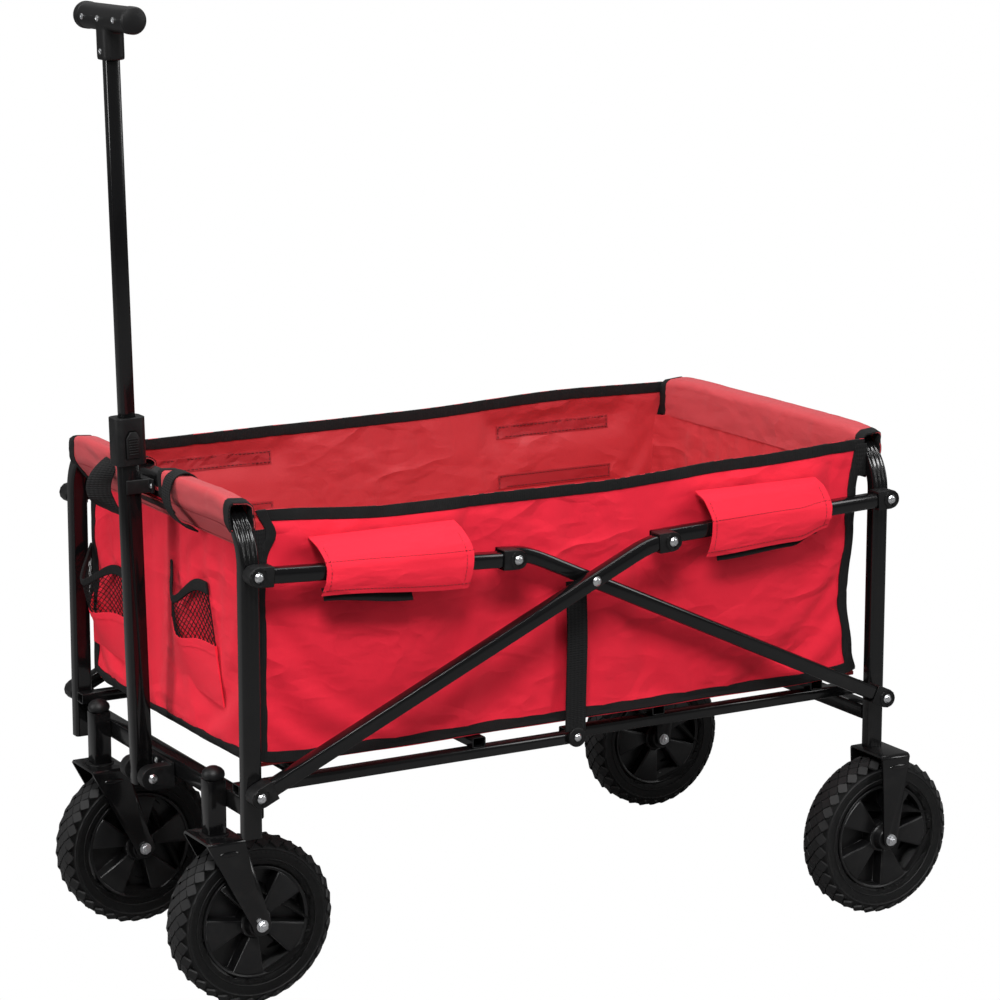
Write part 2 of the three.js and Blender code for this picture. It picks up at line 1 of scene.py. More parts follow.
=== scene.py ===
# %% [markdown]
# # A folding wagon with a pull handle
#
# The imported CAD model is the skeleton: every pivot, tube and wheel is already in its place.
# This notebook dresses it. Hard parts get the fine edges that a pressed or moulded part has,
# and the soft bag, its tape, flaps and pockets are made here as cloth.
# Everything is in metres. The handle is at -X, the wagon's left side is -Y, and Z is up.

import math

import bpy
from mathutils import Matrix, Vector, noise


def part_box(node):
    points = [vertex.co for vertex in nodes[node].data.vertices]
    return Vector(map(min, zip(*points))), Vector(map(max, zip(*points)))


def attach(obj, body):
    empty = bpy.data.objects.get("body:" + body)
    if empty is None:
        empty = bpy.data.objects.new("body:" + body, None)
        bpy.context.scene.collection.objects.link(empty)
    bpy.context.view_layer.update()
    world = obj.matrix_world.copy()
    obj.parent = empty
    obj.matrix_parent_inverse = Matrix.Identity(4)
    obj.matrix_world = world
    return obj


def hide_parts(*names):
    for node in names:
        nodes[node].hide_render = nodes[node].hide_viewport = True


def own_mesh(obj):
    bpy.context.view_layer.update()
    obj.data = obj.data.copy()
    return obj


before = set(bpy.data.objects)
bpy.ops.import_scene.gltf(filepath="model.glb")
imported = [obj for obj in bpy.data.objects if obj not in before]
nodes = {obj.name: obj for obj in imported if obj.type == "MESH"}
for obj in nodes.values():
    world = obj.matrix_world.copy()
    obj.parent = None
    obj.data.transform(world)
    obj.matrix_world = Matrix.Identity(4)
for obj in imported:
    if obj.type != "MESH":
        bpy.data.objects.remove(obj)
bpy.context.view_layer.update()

# %% [markdown]
# ## Camera and light
# A long lens at eye height looks down a little on the wagon's left front corner, and the lens
# is shifted, as on a studio camera, so that upright tubes stay where the framing wants them.

# %% Camera
CAMERA_AT = Vector((-1.7670, -3.0948, 1.2116))
CAMERA_LOOKS_AT = Vector((-0.010, 0.0, 0.5338))
camera_data = bpy.data.cameras.new("camera")
camera_data.lens = 117.56
camera_data.sensor_width = 36.0
camera_data.shift_x = 0.0207
camera_data.shift_y = -0.0568
camera = bpy.data.objects.new("camera", camera_data)
camera.location = CAMERA_AT
camera.rotation_euler = (CAMERA_LOOKS_AT - CAMERA_AT).to_track_quat("-Z", "Y").to_euler()
bpy.context.scene.collection.objects.link(camera)
bpy.context.scene.camera = camera
bpy.context.scene.view_settings.view_transform = "Standard"


# %% Helpers for working as by hand
def deselect():
    """Leaves edit mode with nothing selected, so that the next operator acts on one piece only."""
    if bpy.context.object and bpy.context.object.mode != "OBJECT":
        bpy.ops.object.mode_set(mode="OBJECT")
    bpy.ops.object.select_all(action="DESELECT")


def pick(*objects):
    """Selects these objects, the last one active."""
    deselect()
    for obj in objects:
        obj.select_set(True)
    bpy.context.view_layer.objects.active = objects[-1]
    return objects[-1]


def named(name):
    """Names the object that an operator has just added."""
    obj = bpy.context.object
    obj.name = name
    obj.data.name = name
    return obj


def in_edit(obj, select="SELECT"):
    """Opens a piece for editing, with all or nothing of it selected."""
    pick(obj)
    bpy.ops.object.mode_set(mode="EDIT")
    bpy.ops.mesh.select_mode(type="VERT")
    bpy.ops.mesh.select_all(action=select)


def out_of_edit():
    bpy.ops.object.mode_set(mode="OBJECT")


def select_faces(obj, wanted):
    """Selects the faces for which wanted(centre, normal) is true, and opens the piece for editing."""
    in_edit(obj, "DESELECT")
    bpy.ops.mesh.select_mode(type="FACE")
    out_of_edit()
    for face in obj.data.polygons:
        face.select = wanted(face.center, face.normal)
    bpy.ops.object.mode_set(mode="EDIT")


def select_edges(obj, wanted):
    """Selects the edges for which wanted(end, other end) is true, and opens the piece for editing."""
    in_edit(obj, "DESELECT")
    bpy.ops.mesh.select_mode(type="EDGE")
    out_of_edit()
    points = [v.co for v in obj.data.vertices]
    for edge in obj.data.edges:
        edge.select = wanted(points[edge.vertices[0]], points[edge.vertices[1]])
    bpy.ops.object.mode_set(mode="EDIT")


def modifier(obj, kind, **settings):
    """Adds a modifier, sets it and applies it."""
    pick(obj)
    made = obj.modifiers.new(kind.lower(), kind)
    for key, value in settings.items():
        setattr(made, key, value)
    bpy.ops.object.modifier_apply(modifier=made.name)
    return obj


def settle(obj):
    """Moves a piece's place into its mesh, so that its object sits at the origin."""
    pick(obj)
    bpy.ops.object.transform_apply(location=True, rotation=True, scale=True)
    return obj


def joined(name, pieces):
    """Makes several meshes one piece."""
    pieces = list(pieces)
    pick(*pieces)
    if len(pieces) > 1:
        bpy.ops.object.join()
    obj = bpy.context.object
    obj.name = name
    obj.data.name = name
    return obj


def copied(obj, name, matrix=None):
    """A copy with a mesh of its own, moved by the matrix."""
    copy = bpy.data.objects.new(name, obj.data.copy())
    bpy.context.scene.collection.objects.link(copy)
    if matrix is not None:
        copy.data.transform(matrix)
        if matrix.determinant() < 0:
            copy.data.flip_normals()
    return copy


def removed(*objects):
    for obj in objects:
        bpy.data.objects.remove(obj)


def moved(obj, change):
    """Moves each vertex of a piece to change(place)."""
    for vertex in obj.data.vertices:
        vertex.co = change(vertex.co.copy())
    obj.data.update()
    return obj


def outward(obj):
    in_edit(obj)
    bpy.ops.mesh.normals_make_consistent(inside=False)
    out_of_edit()
    return obj


def smooth(obj, degrees=35):
    pick(obj)
    bpy.ops.object.shade_smooth_by_angle(angle=math.radians(degrees))
    return obj


def dressed(obj, body, material, replaces=()):
    """Gives a finished piece its material, its body and the CAD nodes that it stands for."""
    settle(obj)
    finishes = material if isinstance(material, (list, tuple)) else [material]
    used = [min(face.material_index, len(finishes) - 1) for face in obj.data.polygons]
    obj.data.materials.clear()
    for one in finishes:
        obj.data.materials.append(one)
    obj.data.polygons.foreach_set("material_index", used)
    if body:
        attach(obj, body)
    if replaces:
        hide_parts(*([replaces] if isinstance(replaces, str) else replaces))
    return obj


# %% [markdown]
# ## Floor and lights
# Black gloss tubes show nothing of their own: what is seen on them is the studio. So the lights
# are long soft boxes, which draw the bright lines along the tubes, and the floor and the air are
# nearly white, so that the wagon stands in a clean bright room.

# %% Floor and lights
FLOOR_REACH = 30.0
bpy.ops.mesh.primitive_plane_add(size=FLOOR_REACH, location=(0, 0, 0))
floor = named("studio_floor")


def soft_box(name, at, looks_at, wide, tall, power):
    light = bpy.data.lights.new(name, "AREA")
    light.shape = "RECTANGLE"
    light.size = wide
    light.size_y = tall
    light.energy = power
    box = bpy.data.objects.new(name, light)
    box.location = at
    box.rotation_euler = (Vector(looks_at) - Vector(at)).to_track_quat("-Z", "Y").to_euler()
    bpy.context.scene.collection.objects.link(box)
    return box


soft_box("key_light", (-1.6, -2.6, 3.2), (0.0, 0.0, 0.4), 1.3, 0.9, 120)
soft_box("side_light", (2.6, -2.4, 1.9), (0.1, 0.0, 0.4), 0.8, 2.0, 34)
soft_box("front_light", (-3.2, 0.8, 1.8), (0.0, 0.0, 0.4), 0.9, 2.0, 52)
soft_box("top_light", (0.4, 1.4, 3.4), (0.0, 0.0, 0.3), 3.0, 2.0, 46)
soft_box("strip_light", (-0.6, -1.2, 3.6), (0.0, 0.0, 0.4), 3.2, 0.12, 60)

world = bpy.data.worlds.new("studio")
world.use_nodes = True
sky = world.node_tree
air = sky.nodes["Background"]
air.inputs["Color"].default_value = (1.0, 1.0, 1.0, 1)
seen = sky.nodes.new("ShaderNodeLightPath").outputs["Is Camera Ray"]
strength = sky.nodes.new("ShaderNodeMapRange")
strength.inputs["To Min"].default_value = 0.14
strength.inputs["To Max"].default_value = 1.0
sky.links.new(seen, strength.inputs["Value"])
sky.links.new(strength.outputs["Result"], air.inputs["Strength"])
bpy.context.scene.world = world

# %% [markdown]
# ## Effects that several finishes share
# A shader node group is a small tool with named inputs and outputs. Each group below puts out
# a height, a mask or a colour that changes over the surface, and each material then uses it at
# its own scale. The groups read Object coordinates, so a pattern stays on its piece.


# %% Shader groups
def new_group(name, inputs, outputs):
    group = bpy.data.node_groups.new(name, "ShaderNodeTree")
    for title, kind, value in inputs:
        socket = group.interface.new_socket(title, in_out="INPUT", socket_type=kind)
        if value is not None:
            socket.default_value = value
    for title, kind in outputs:
        group.interface.new_socket(title, in_out="OUTPUT", socket_type=kind)
    start = group.nodes.new("NodeGroupInput")
    end = group.nodes.new("NodeGroupOutput")
    return group, start, end


def math_node(tree, operation, first, second=None, third=None, clamp=False):
    node = tree.nodes.new("ShaderNodeMath")
    node.operation = operation
    node.use_clamp = clamp
    for index, value in enumerate((first, second, third)):
        if value is None:
            continue
        if isinstance(value, (int, float)):
            node.inputs[index].default_value = value
        else:
            tree.links.new(value, node.inputs[index])
    return node.outputs[0]


def noise_node(tree, vector, scale, detail=3.0, rough=0.55):
    node = tree.nodes.new("ShaderNodeTexNoise")
    node.inputs["Detail"].default_value = detail
    node.inputs["Roughness"].default_value = rough
    tree.links.new(vector, node.inputs["Vector"])
    if isinstance(scale, (int, float)):
        node.inputs["Scale"].default_value = scale
    else:
        tree.links.new(scale, node.inputs["Scale"])
    return node.outputs["Fac"]


def grain_group():
    """Fine moulded grain and slow unevenness, as on powder coat and matt plastic."""
    tree, start, end = new_group(
        "grain",
        [("Vector", "NodeSocketVector", None), ("Scale", "NodeSocketFloat", 900.0)],
        [("Height", "NodeSocketFloat"), ("Uneven", "NodeSocketFloat")],
    )
    fine = noise_node(tree, start.outputs["Vector"], start.outputs["Scale"], 2.0)
    slow = noise_node(tree, start.outputs["Vector"], 14.0, 4.0)
    tree.links.new(fine, end.inputs["Height"])
    tree.links.new(slow, end.inputs["Uneven"])
    return tree


def scuff_group():
    """Thin rubbed streaks and specks of dust, strongest near the ground."""
    tree, start, end = new_group(
        "scuff",
        [
            ("Vector", "NodeSocketVector", None),
            ("Scale", "NodeSocketFloat", 60.0),
            ("Low", "NodeSocketFloat", 0.0),
            ("High", "NodeSocketFloat", 0.3),
        ],
        [("Dust", "NodeSocketFloat"), ("Streaks", "NodeSocketFloat")],
    )
    split = tree.nodes.new("ShaderNodeSeparateXYZ")
    tree.links.new(start.outputs["Vector"], split.inputs[0])
    span = math_node(tree, "SUBTRACT", start.outputs["High"], start.outputs["Low"])
    above = math_node(tree, "SUBTRACT", start.outputs["High"], split.outputs["Z"])
    near_ground = math_node(tree, "DIVIDE", above, span, clamp=True)
    patches = noise_node(tree, start.outputs["Vector"], start.outputs["Scale"], 5.0, 0.7)
    speckled = math_node(tree, "SUBTRACT", patches, 0.5, clamp=True)
    dust = math_node(tree, "MULTIPLY", math_node(tree, "MULTIPLY", speckled, near_ground), 3.0, clamp=True)
    stretch = tree.nodes.new("ShaderNodeMapping")
    stretch.inputs["Scale"].default_value = (9.0, 9.0, 1.0)
    tree.links.new(start.outputs["Vector"], stretch.inputs["Vector"])
    lines = noise_node(tree, stretch.outputs["Vector"], 40.0, 6.0, 0.75)
    peaks = math_node(tree, "SUBTRACT", lines, 0.58, clamp=True)
    streaks = math_node(tree, "MULTIPLY", peaks, 4.0, clamp=True)
    tree.links.new(dust, end.inputs["Dust"])
    tree.links.new(streaks, end.inputs["Streaks"])
    return tree


def weave_group():
    """Plain weave: threads over and under each other along two directions of the cloth's own map."""
    tree, start, end = new_group(
        "weave",
        [("Vector", "NodeSocketVector", None), ("Threads", "NodeSocketFloat", 1500.0)],
        [("Height", "NodeSocketFloat"), ("Mottle", "NodeSocketFloat"), ("Creases", "NodeSocketFloat")],
    )
    split = tree.nodes.new("ShaderNodeSeparateXYZ")
    tree.links.new(start.outputs["Vector"], split.inputs[0])
    turn = math_node(tree, "MULTIPLY", start.outputs["Threads"], math.pi)
    waves = []
    for axis in ("X", "Y"):
        phase = math_node(tree, "MULTIPLY", split.outputs[axis], turn)
        waves.append(math_node(tree, "ABSOLUTE", math_node(tree, "SINE", phase)))
    crossing = math_node(tree, "MULTIPLY", waves[0], waves[1])
    either = math_node(tree, "MAXIMUM", waves[0], waves[1])
    height = math_node(tree, "SUBTRACT", either, math_node(tree, "MULTIPLY", crossing, 0.5))
    tree.links.new(height, end.inputs["Height"])
    mottle = noise_node(tree, start.outputs["Vector"], 420.0, 4.0, 0.7)
    tree.links.new(mottle, end.inputs["Mottle"])
    sharp = None
    for turn_by, scale, width, share in ((0.5, 13.0, 13.0, 1.0), (-0.6, 25.0, 10.0, 0.28)):
        slope = tree.nodes.new("ShaderNodeMapping")
        slope.inputs["Rotation"].default_value = (0.0, 0.0, turn_by)
        slope.inputs["Scale"].default_value = (0.5, 1.0, 1.0)
        tree.links.new(start.outputs["Vector"], slope.inputs["Vector"])
        slow = noise_node(tree, slope.outputs["Vector"], scale, 2.5, 0.45)
        off_middle = math_node(tree, "ABSOLUTE", math_node(tree, "SUBTRACT", slow, 0.5))
        line = math_node(tree, "SUBTRACT", 1.0, math_node(tree, "MULTIPLY", off_middle, width), clamp=True)
        line = math_node(tree, "MULTIPLY", line, share)
        sharp = line if sharp is None else math_node(tree, "ADD", sharp, line)
    patchy = noise_node(tree, start.outputs["Vector"], 6.0, 1.0)
    patches = math_node(tree, "SUBTRACT", patchy, 0.34, clamp=True)
    where = math_node(tree, "MULTIPLY", patches, 5.0, clamp=True)
    tree.links.new(math_node(tree, "MULTIPLY", sharp, where), end.inputs["Creases"])
    return tree


def rib_group():
    """Ribs across a webbing or a tape, with the fine twill between them."""
    tree, start, end = new_group(
        "ribs",
        [("Vector", "NodeSocketVector", None), ("Ribs", "NodeSocketFloat", 420.0)],
        [("Height", "NodeSocketFloat"), ("Twill", "NodeSocketFloat")],
    )
    split = tree.nodes.new("ShaderNodeSeparateXYZ")
    tree.links.new(start.outputs["Vector"], split.inputs[0])
    turn = math_node(tree, "MULTIPLY", start.outputs["Ribs"], math.pi)
    phase = math_node(tree, "MULTIPLY", split.outputs["Y"], turn)
    rib = math_node(tree, "ABSOLUTE", math_node(tree, "SINE", phase))
    across = math_node(tree, "MULTIPLY", split.outputs["X"], turn)
    twill = math_node(tree, "SINE", math_node(tree, "ADD", across, math_node(tree, "MULTIPLY", rib, 2.0)))
    tree.links.new(rib, end.inputs["Height"])
    tree.links.new(twill, end.inputs["Twill"])
    return tree


GRAIN, SCUFF, WEAVE, RIBS = grain_group(), scuff_group(), weave_group(), rib_group()

# %% [markdown]
# ## Finishes
# Each material below is one finish of the real wagon; the cloth and webbing colours also carry painted shade
# and highlight in their weave, and the sleeve's cloth is the red cloth again with painted sheen and shade. A
# number that is the same all over is set on the shader's own socket; only what varies over the surface comes
# from a group.


# %% Material helpers
def new_material(name, color, roughness, **constants):
    material = bpy.data.materials.new(name)
    material.use_nodes = True
    material.diffuse_color = (*color, 1)
    tree = material.node_tree
    shader = tree.nodes["Principled BSDF"]
    shader.inputs["Base Color"].default_value = (*color, 1)
    shader.inputs["Roughness"].default_value = roughness
    for key, value in constants.items():
        shader.inputs[key.replace("_", " ").title().replace("Ior", "IOR")].default_value = value
    return material, tree, shader


def coordinates(tree, kind="Object"):
    return tree.nodes.new("ShaderNodeTexCoord").outputs[kind]


def use_group(tree, group, vector, **values):
    node = tree.nodes.new("ShaderNodeGroup")
    node.node_tree = group
    tree.links.new(vector, node.inputs["Vector"])
    for key, value in values.items():
        node.inputs[key].default_value = value
    return node.outputs


def between(tree, mask, low, high):
    """low where the mask is 0, high where it is 1."""
    node = tree.nodes.new("ShaderNodeMapRange")
    node.inputs["To Min"].default_value = low
    node.inputs["To Max"].default_value = high
    tree.links.new(mask, node.inputs["Value"])
    return node.outputs["Result"]


def two_colors(tree, mask, first, second):
    node = tree.nodes.new("ShaderNodeMix")
    node.data_type = "RGBA"
    for socket, color in zip([s for s in node.inputs if s.type == "RGBA"], (first, second)):
        socket.default_value = (*color, 1)
    tree.links.new(mask, node.inputs["Factor"])
    return next(s for s in node.outputs if s.type == "RGBA")


def bump(tree, shader, height, depth):
    node = tree.nodes.new("ShaderNodeBump")
    node.inputs["Strength"].default_value = 1.0
    node.inputs["Distance"].default_value = depth
    tree.links.new(height, node.inputs["Height"])
    tree.links.new(node.outputs["Normal"], shader.inputs["Normal"])


# %% Hard finishes
def paint_finish():
    """Gloss black powder coat: deep, with a faint orange peel and a few rubbed places."""
    material, tree, shader = new_material(
        "black_powder_coat", (0.004, 0.004, 0.0043), 0.24, specular_ior_level=0.28, coat_weight=0.22,
        coat_roughness=0.06,
    )
    where = coordinates(tree)
    grain = use_group(tree, GRAIN, where, Scale=420.0)
    scuff = use_group(tree, SCUFF, where, Scale=45.0, Low=0.0, High=0.42)
    color = two_colors(tree, scuff["Dust"], (0.004, 0.004, 0.0043), (0.018, 0.017, 0.016))
    tree.links.new(color, shader.inputs["Base Color"])
    slow = between(tree, grain["Uneven"], 0.12, 0.26)
    rough = math_node(tree, "ADD", slow, math_node(tree, "MULTIPLY", scuff["Streaks"], 0.15))
    tree.links.new(rough, shader.inputs["Roughness"])
    bump(tree, shader, grain["Height"], 0.00002)
    return material


def plastic_finish():
    """Black nylon mouldings with a fine spark-eroded grain."""
    color = (0.0045, 0.0045, 0.0048)
    material, tree, shader = new_material("black_moulding", color, 0.42, specular_ior_level=0.28)
    where = coordinates(tree)
    grain = use_group(tree, GRAIN, where, Scale=1400.0)
    scuff = use_group(tree, SCUFF, where, Scale=70.0, Low=0.1, High=1.2)
    color = two_colors(tree, scuff["Dust"], (0.0045, 0.0045, 0.0048), (0.02, 0.02, 0.02))
    tree.links.new(color, shader.inputs["Base Color"])
    tree.links.new(between(tree, grain["Uneven"], 0.38, 0.55), shader.inputs["Roughness"])
    bump(tree, shader, grain["Height"], 0.00012)
    return material


def rim_finish():
    """The wheel centre's smoother, slightly glossy black moulding."""
    color = (0.005, 0.005, 0.0054)
    material, tree, shader = new_material("rim_moulding", color, 0.36, specular_ior_level=0.36)
    where = coordinates(tree)
    grain = use_group(tree, GRAIN, where, Scale=700.0)
    scuff = use_group(tree, SCUFF, where, Scale=90.0, Low=0.0, High=0.2)
    color = two_colors(tree, scuff["Dust"], (0.005, 0.005, 0.0054), (0.016, 0.015, 0.014))
    tree.links.new(color, shader.inputs["Base Color"])
    tree.links.new(between(tree, grain["Uneven"], 0.28, 0.45), shader.inputs["Roughness"])
    bump(tree, shader, grain["Height"], 0.00005)
    return material


def rubber_finish():
    """Foamed rubber: matt, a little grey, with dust that gathers low on the tread."""
    color = (0.008, 0.008, 0.0084)
    material, tree, shader = new_material("tyre_rubber", color, 0.62, specular_ior_level=0.36)
    where = coordinates(tree)
    grain = use_group(tree, GRAIN, where, Scale=1100.0)
    scuff = use_group(tree, SCUFF, where, Scale=120.0, Low=-0.05, High=0.25)
    color = two_colors(tree, scuff["Dust"], (0.008, 0.008, 0.0084), (0.026, 0.024, 0.022))
    tree.links.new(color, shader.inputs["Base Color"])
    tree.links.new(between(tree, grain["Uneven"], 0.52, 0.72), shader.inputs["Roughness"])
    bump(tree, shader, grain["Height"], 0.00015)
    return material


def steel_finish():
    """Zinc-plated rivets and bolts, lightly brushed."""
    material, tree, shader = new_material("plated_steel", (0.72, 0.73, 0.75), 0.28, metallic=1.0)
    where = coordinates(tree)
    grain = use_group(tree, GRAIN, where, Scale=2200.0)
    color = two_colors(tree, grain["Uneven"], (0.6, 0.61, 0.63), (0.82, 0.83, 0.84))
    tree.links.new(color, shader.inputs["Base Color"])
    tree.links.new(between(tree, grain["Height"], 0.18, 0.4), shader.inputs["Roughness"])
    bump(tree, shader, grain["Height"], 0.00005)
    return material


# %% Soft finishes
WEAVE_DEPTH = 0.00014
CREASE_DEPTH = 15.0  # in weave depths


def cloth_finish(name, color, deep, roughness, sheen, coat=0.0):
    """Coated polyester, plain weave: colour is darker in slow random patches, and darker between threads as
    painted shade.
    """
    material, tree, shader = new_material(
        name, color, roughness, sheen_weight=sheen, sheen_roughness=0.45, coat_weight=coat,
        coat_roughness=0.3, specular_ior_level=0.3,
    )
    shader.inputs["Sheen Tint"].default_value = (1.0, 0.72, 0.74, 1)
    where = coordinates(tree, "UV")
    weave = use_group(tree, WEAVE, where, Threads=1400.0)
    # Colour mask: random mottle, plus the weave's height, which puts painted shade in the gaps between
    # threads.
    mask = math_node(
        tree, "ADD", math_node(tree, "MULTIPLY", weave["Mottle"], 0.65),
        math_node(tree, "MULTIPLY", weave["Height"], 0.35), clamp=True,
    )
    tree.links.new(two_colors(tree, mask, deep, color), shader.inputs["Base Color"])
    uneven = between(tree, weave["Mottle"], roughness - 0.08, roughness + 0.08)
    tree.links.new(uneven, shader.inputs["Roughness"])
    fine = math_node(tree, "ADD", weave["Height"], math_node(tree, "MULTIPLY", weave["Mottle"], 0.8))
    height = math_node(tree, "ADD", fine, math_node(tree, "MULTIPLY", weave["Creases"], CREASE_DEPTH))
    bump(tree, shader, height, WEAVE_DEPTH)
    return material


def webbing_finish(name, ribs, color=(0.003, 0.003, 0.0032), light=(0.008, 0.008, 0.0084)):
    """Black polyester webbing or binding tape, ribbed across its length, with a painted highlight on the rib
    crests and painted shade in the grooves.
    """
    material, tree, shader = new_material(name, color, 0.75, sheen_weight=0.02, specular_ior_level=0.22)
    pattern = use_group(tree, RIBS, coordinates(tree, "UV"), Ribs=ribs)
    # Rib height sets the colour: the lighter colour on the crests is a painted highlight, the darker one in
    # the grooves is painted shade.
    tree.links.new(two_colors(tree, pattern["Height"], color, light), shader.inputs["Base Color"])
    tree.links.new(between(tree, pattern["Twill"], 0.66, 0.86), shader.inputs["Roughness"])
    height = math_node(tree, "ADD", pattern["Height"], math_node(tree, "MULTIPLY", pattern["Twill"], 0.25))
    bump(tree, shader, height, 0.0004)
    return material


def floor_finish():
    """White studio paper: lit until it shows as pure white, while it sends less light back up."""
    material, tree, shader = new_material("studio_paper", (0.22, 0.22, 0.22), 0.9)
    slow = noise_node(tree, coordinates(tree), 1.5, 2.0)
    tone = two_colors(tree, slow, (0.20, 0.20, 0.20), (0.24, 0.24, 0.24))
    tree.links.new(tone, shader.inputs["Base Color"])
    glow = tree.nodes.new("ShaderNodeEmission")
    seen_directly = tree.nodes.new("ShaderNodeLightPath").outputs["Is Camera Ray"]
    mixed = tree.nodes.new("ShaderNodeMixShader")
    tree.links.new(seen_directly, mixed.inputs["Fac"])
    tree.links.new(shader.outputs["BSDF"], mixed.inputs[1])
    tree.links.new(glow.outputs["Emission"], mixed.inputs[2])
    tree.links.new(mixed.outputs["Shader"], tree.nodes["Material Output"].inputs["Surface"])
    return material


PAINT = paint_finish()
PLASTIC = plastic_finish()
RIM = rim_finish()
RUBBER = rubber_finish()
STEEL = steel_finish()
RED = cloth_finish("red_cloth", (0.90, 0.016, 0.046), (0.78, 0.010, 0.032), 0.72, 0.06)
RED_BACK = cloth_finish("red_cloth_back", (0.60, 0.036, 0.046), (0.46, 0.024, 0.032), 0.5, 0.12, coat=0.3)
# The sleeve's cloth is the red cloth again, its colour made paler and darker as painted sheen and painted
# shade.
SLEEVE_SHEEN_AND_SHADE = cloth_finish("red_cloth_painted_sheen_and_shade", (0.54, 0.05, 0.06), (0.44, 0.038, 0.046), 0.55, 0.14, coat=0.1)
TAPE = webbing_finish("binding_tape", 900.0)
WEBBING = webbing_finish("ribbed_webbing", 430.0)
HOOK_STRIP = webbing_finish("hook_strip", 1500.0)
NET = webbing_finish("pocket_net", 2500.0)
THREAD = cloth_finish("red_thread", (0.5, 0.012, 0.03), (0.4, 0.01, 0.02), 0.6, 0.1)
RED_PATCH = cloth_finish("red_patch_cloth", (0.42, 0.02, 0.028), (0.34, 0.014, 0.02), 0.55, 0.1, coat=0.15)
DARK_THREAD = cloth_finish("dark_red_thread", (0.16, 0.01, 0.014), (0.1, 0.006, 0.01), 0.6, 0.1)
floor.data.materials.append(floor_finish())
print("materials:", len(bpy.data.materials))

# %% [markdown]
# ## Fine edges
# A pressed plate, a moulding or a drawn tube never ends in a perfect corner: its edge is a small
# radius that catches the light. The CAD parts have true corners, so most hard parts start as a
# copy of their CAD mesh. The copy's loose triangles are merged and flattened into whole faces, and
# a bevel of under a millimetre rounds every edge that turns sharply.


# %% Finished copies of CAD parts
def refined(name, width=0.0006, segments=2, degrees=30, smooth_degrees=40):
    source = nodes[name]
    piece = bpy.data.objects.new(name + "_finished", source.data.copy())
    bpy.context.scene.collection.objects.link(piece)
    in_edit(piece)
    bpy.ops.mesh.remove_doubles(threshold=0.00001)
    bpy.ops.mesh.dissolve_limited(angle_limit=math.radians(0.7))
    out_of_edit()
    modifier(
        piece, "BEVEL", width=width, segments=segments, limit_method="ANGLE",
        angle_limit=math.radians(degrees),
    )
    return smooth(piece, smooth_degrees)


def finish_copy(name, body, material, slot, **edges):
    return dressed(refined(name, **edges), body, material, name)


SIDES = {"left": -1, "right": 1}
for side in SIDES:
    for tube, body in (
        ("inner_brace", "inner_braces"), ("outer_brace", "outer_braces"),
        ("front_link", "front_links"), ("rear_link", "rear_links"),
    ):
        finish_copy(f"{tube}_{side}", body, PAINT, "black_paint", width=0.0004, smooth_degrees=50)
for name, body in (
    ("rear_crossbar", "rear_frame"), ("floor_frame_front", "floor_front"), ("floor_frame_rear", "floor_rear"),
    ("front_beam", "front_frame"), ("handle_outer_tube", "handle"),
):
    finish_copy(name, body, PAINT, "black_paint", width=0.0004, smooth_degrees=50)

# %% [markdown]
# ## Turned shapes
# Rivets, bolts, tyres and rims are round. Each starts as one circle that is extruded from ring to
# ring, and every ring is given its radius and its place along the axle, as one would do by hand
# with extrude and scale. The axle always runs along Y.


# %% Rings
def rings(name, profile, segments=32):
    """A turned shape about the Y axis from (radius, place along Y); closed if it ends where it began."""
    radius, along = profile[0]
    bpy.ops.mesh.primitive_circle_add(
        vertices=segments, radius=radius, location=(0, along, 0), rotation=(math.pi / 2, 0, 0)
    )
    obj = settle(named(name))
    in_edit(obj)
    for new_radius, new_along in profile[1:]:
        bpy.ops.mesh.extrude_region_move(TRANSFORM_OT_translate={"value": (0, new_along - along, 0)})
        grow = new_radius / radius
        bpy.ops.transform.resize(value=(grow, 1, grow), center_override=(0, new_along, 0))
        radius, along = new_radius, new_along
    bpy.ops.mesh.select_all(action="SELECT")
    bpy.ops.mesh.remove_doubles(threshold=0.00002)
    bpy.ops.mesh.select_non_manifold()
    bpy.ops.mesh.edge_face_add()
    out_of_edit()
    return outward(obj)


def domed_rivet(name, radius, proud):
    """A pressed rivet head with a flat brim, a dome and the small dimple of the punch."""
    profile = [(radius, 0.0), (radius, -0.0006)]
    for step in range(1, 6):
        turn = step / 6 * math.pi / 2
        profile.append((radius * (0.25 + 0.62 * math.cos(turn)), -0.0006 - proud * math.sin(turn)))
    profile.append((radius * 0.2, -0.0006 - proud * 0.8))
    return smooth(rings(name, profile, 24), 40)


def at(x, y, z, face=1.0):
    """Stands a piece made about the Y axis at a place, and turns it round for the +Y side."""
    turn = Matrix.Identity(4) if face > 0 else Matrix.Rotation(math.pi, 4, "Z")
    return Matrix.Translation((x, y, z)) @ turn


rivet = domed_rivet("rivet", 0.0051, 0.0022)

# %% [markdown]
# ## Side linkage: caps and rivets
# Each brace or link ends in a nylon cap. The cap has a raised rim around its pivot, and a plated
# rivet holds it on the leg. One rim and one rivet are modelled, then copied to every pivot.

# %% Side linkage
LEG_Y = 0.219
FRONT_X, REAR_X, MID_X = -0.400, 0.375, -0.0125
LOW_Z, HIGH_Z, CROSS_Z, ARM_X, ARM_Z = 0.2475, 0.475, 0.4286, 0.0934, 0.4616
CAP_HALF = 0.009
CAP_RIM = [(0.0098, 0.0), (0.0094, -0.0011), (0.0082, -0.0011), (0.0078, 0.0), (0.0098, 0.0)]
cap_rim = smooth(rings("cap_rim", CAP_RIM, 28), 30)
pivots = {
    "outer_brace_foot_cap": ("outer_braces", FRONT_X, LOW_Z, 0.0175),
    "outer_brace_arm_cap": ("outer_braces", MID_X + ARM_X, ARM_Z, 0.030),
    "inner_brace_foot_cap": ("inner_braces", REAR_X, LOW_Z, 0.0185),
    "front_link_leg_cap": ("front_links", FRONT_X, HIGH_Z, 0.0175),
    "front_link_arm_cap": ("front_links", MID_X - ARM_X, ARM_Z, 0.0245),
    "rear_link_leg_cap": ("rear_links", REAR_X, HIGH_Z, 0.0175),
}
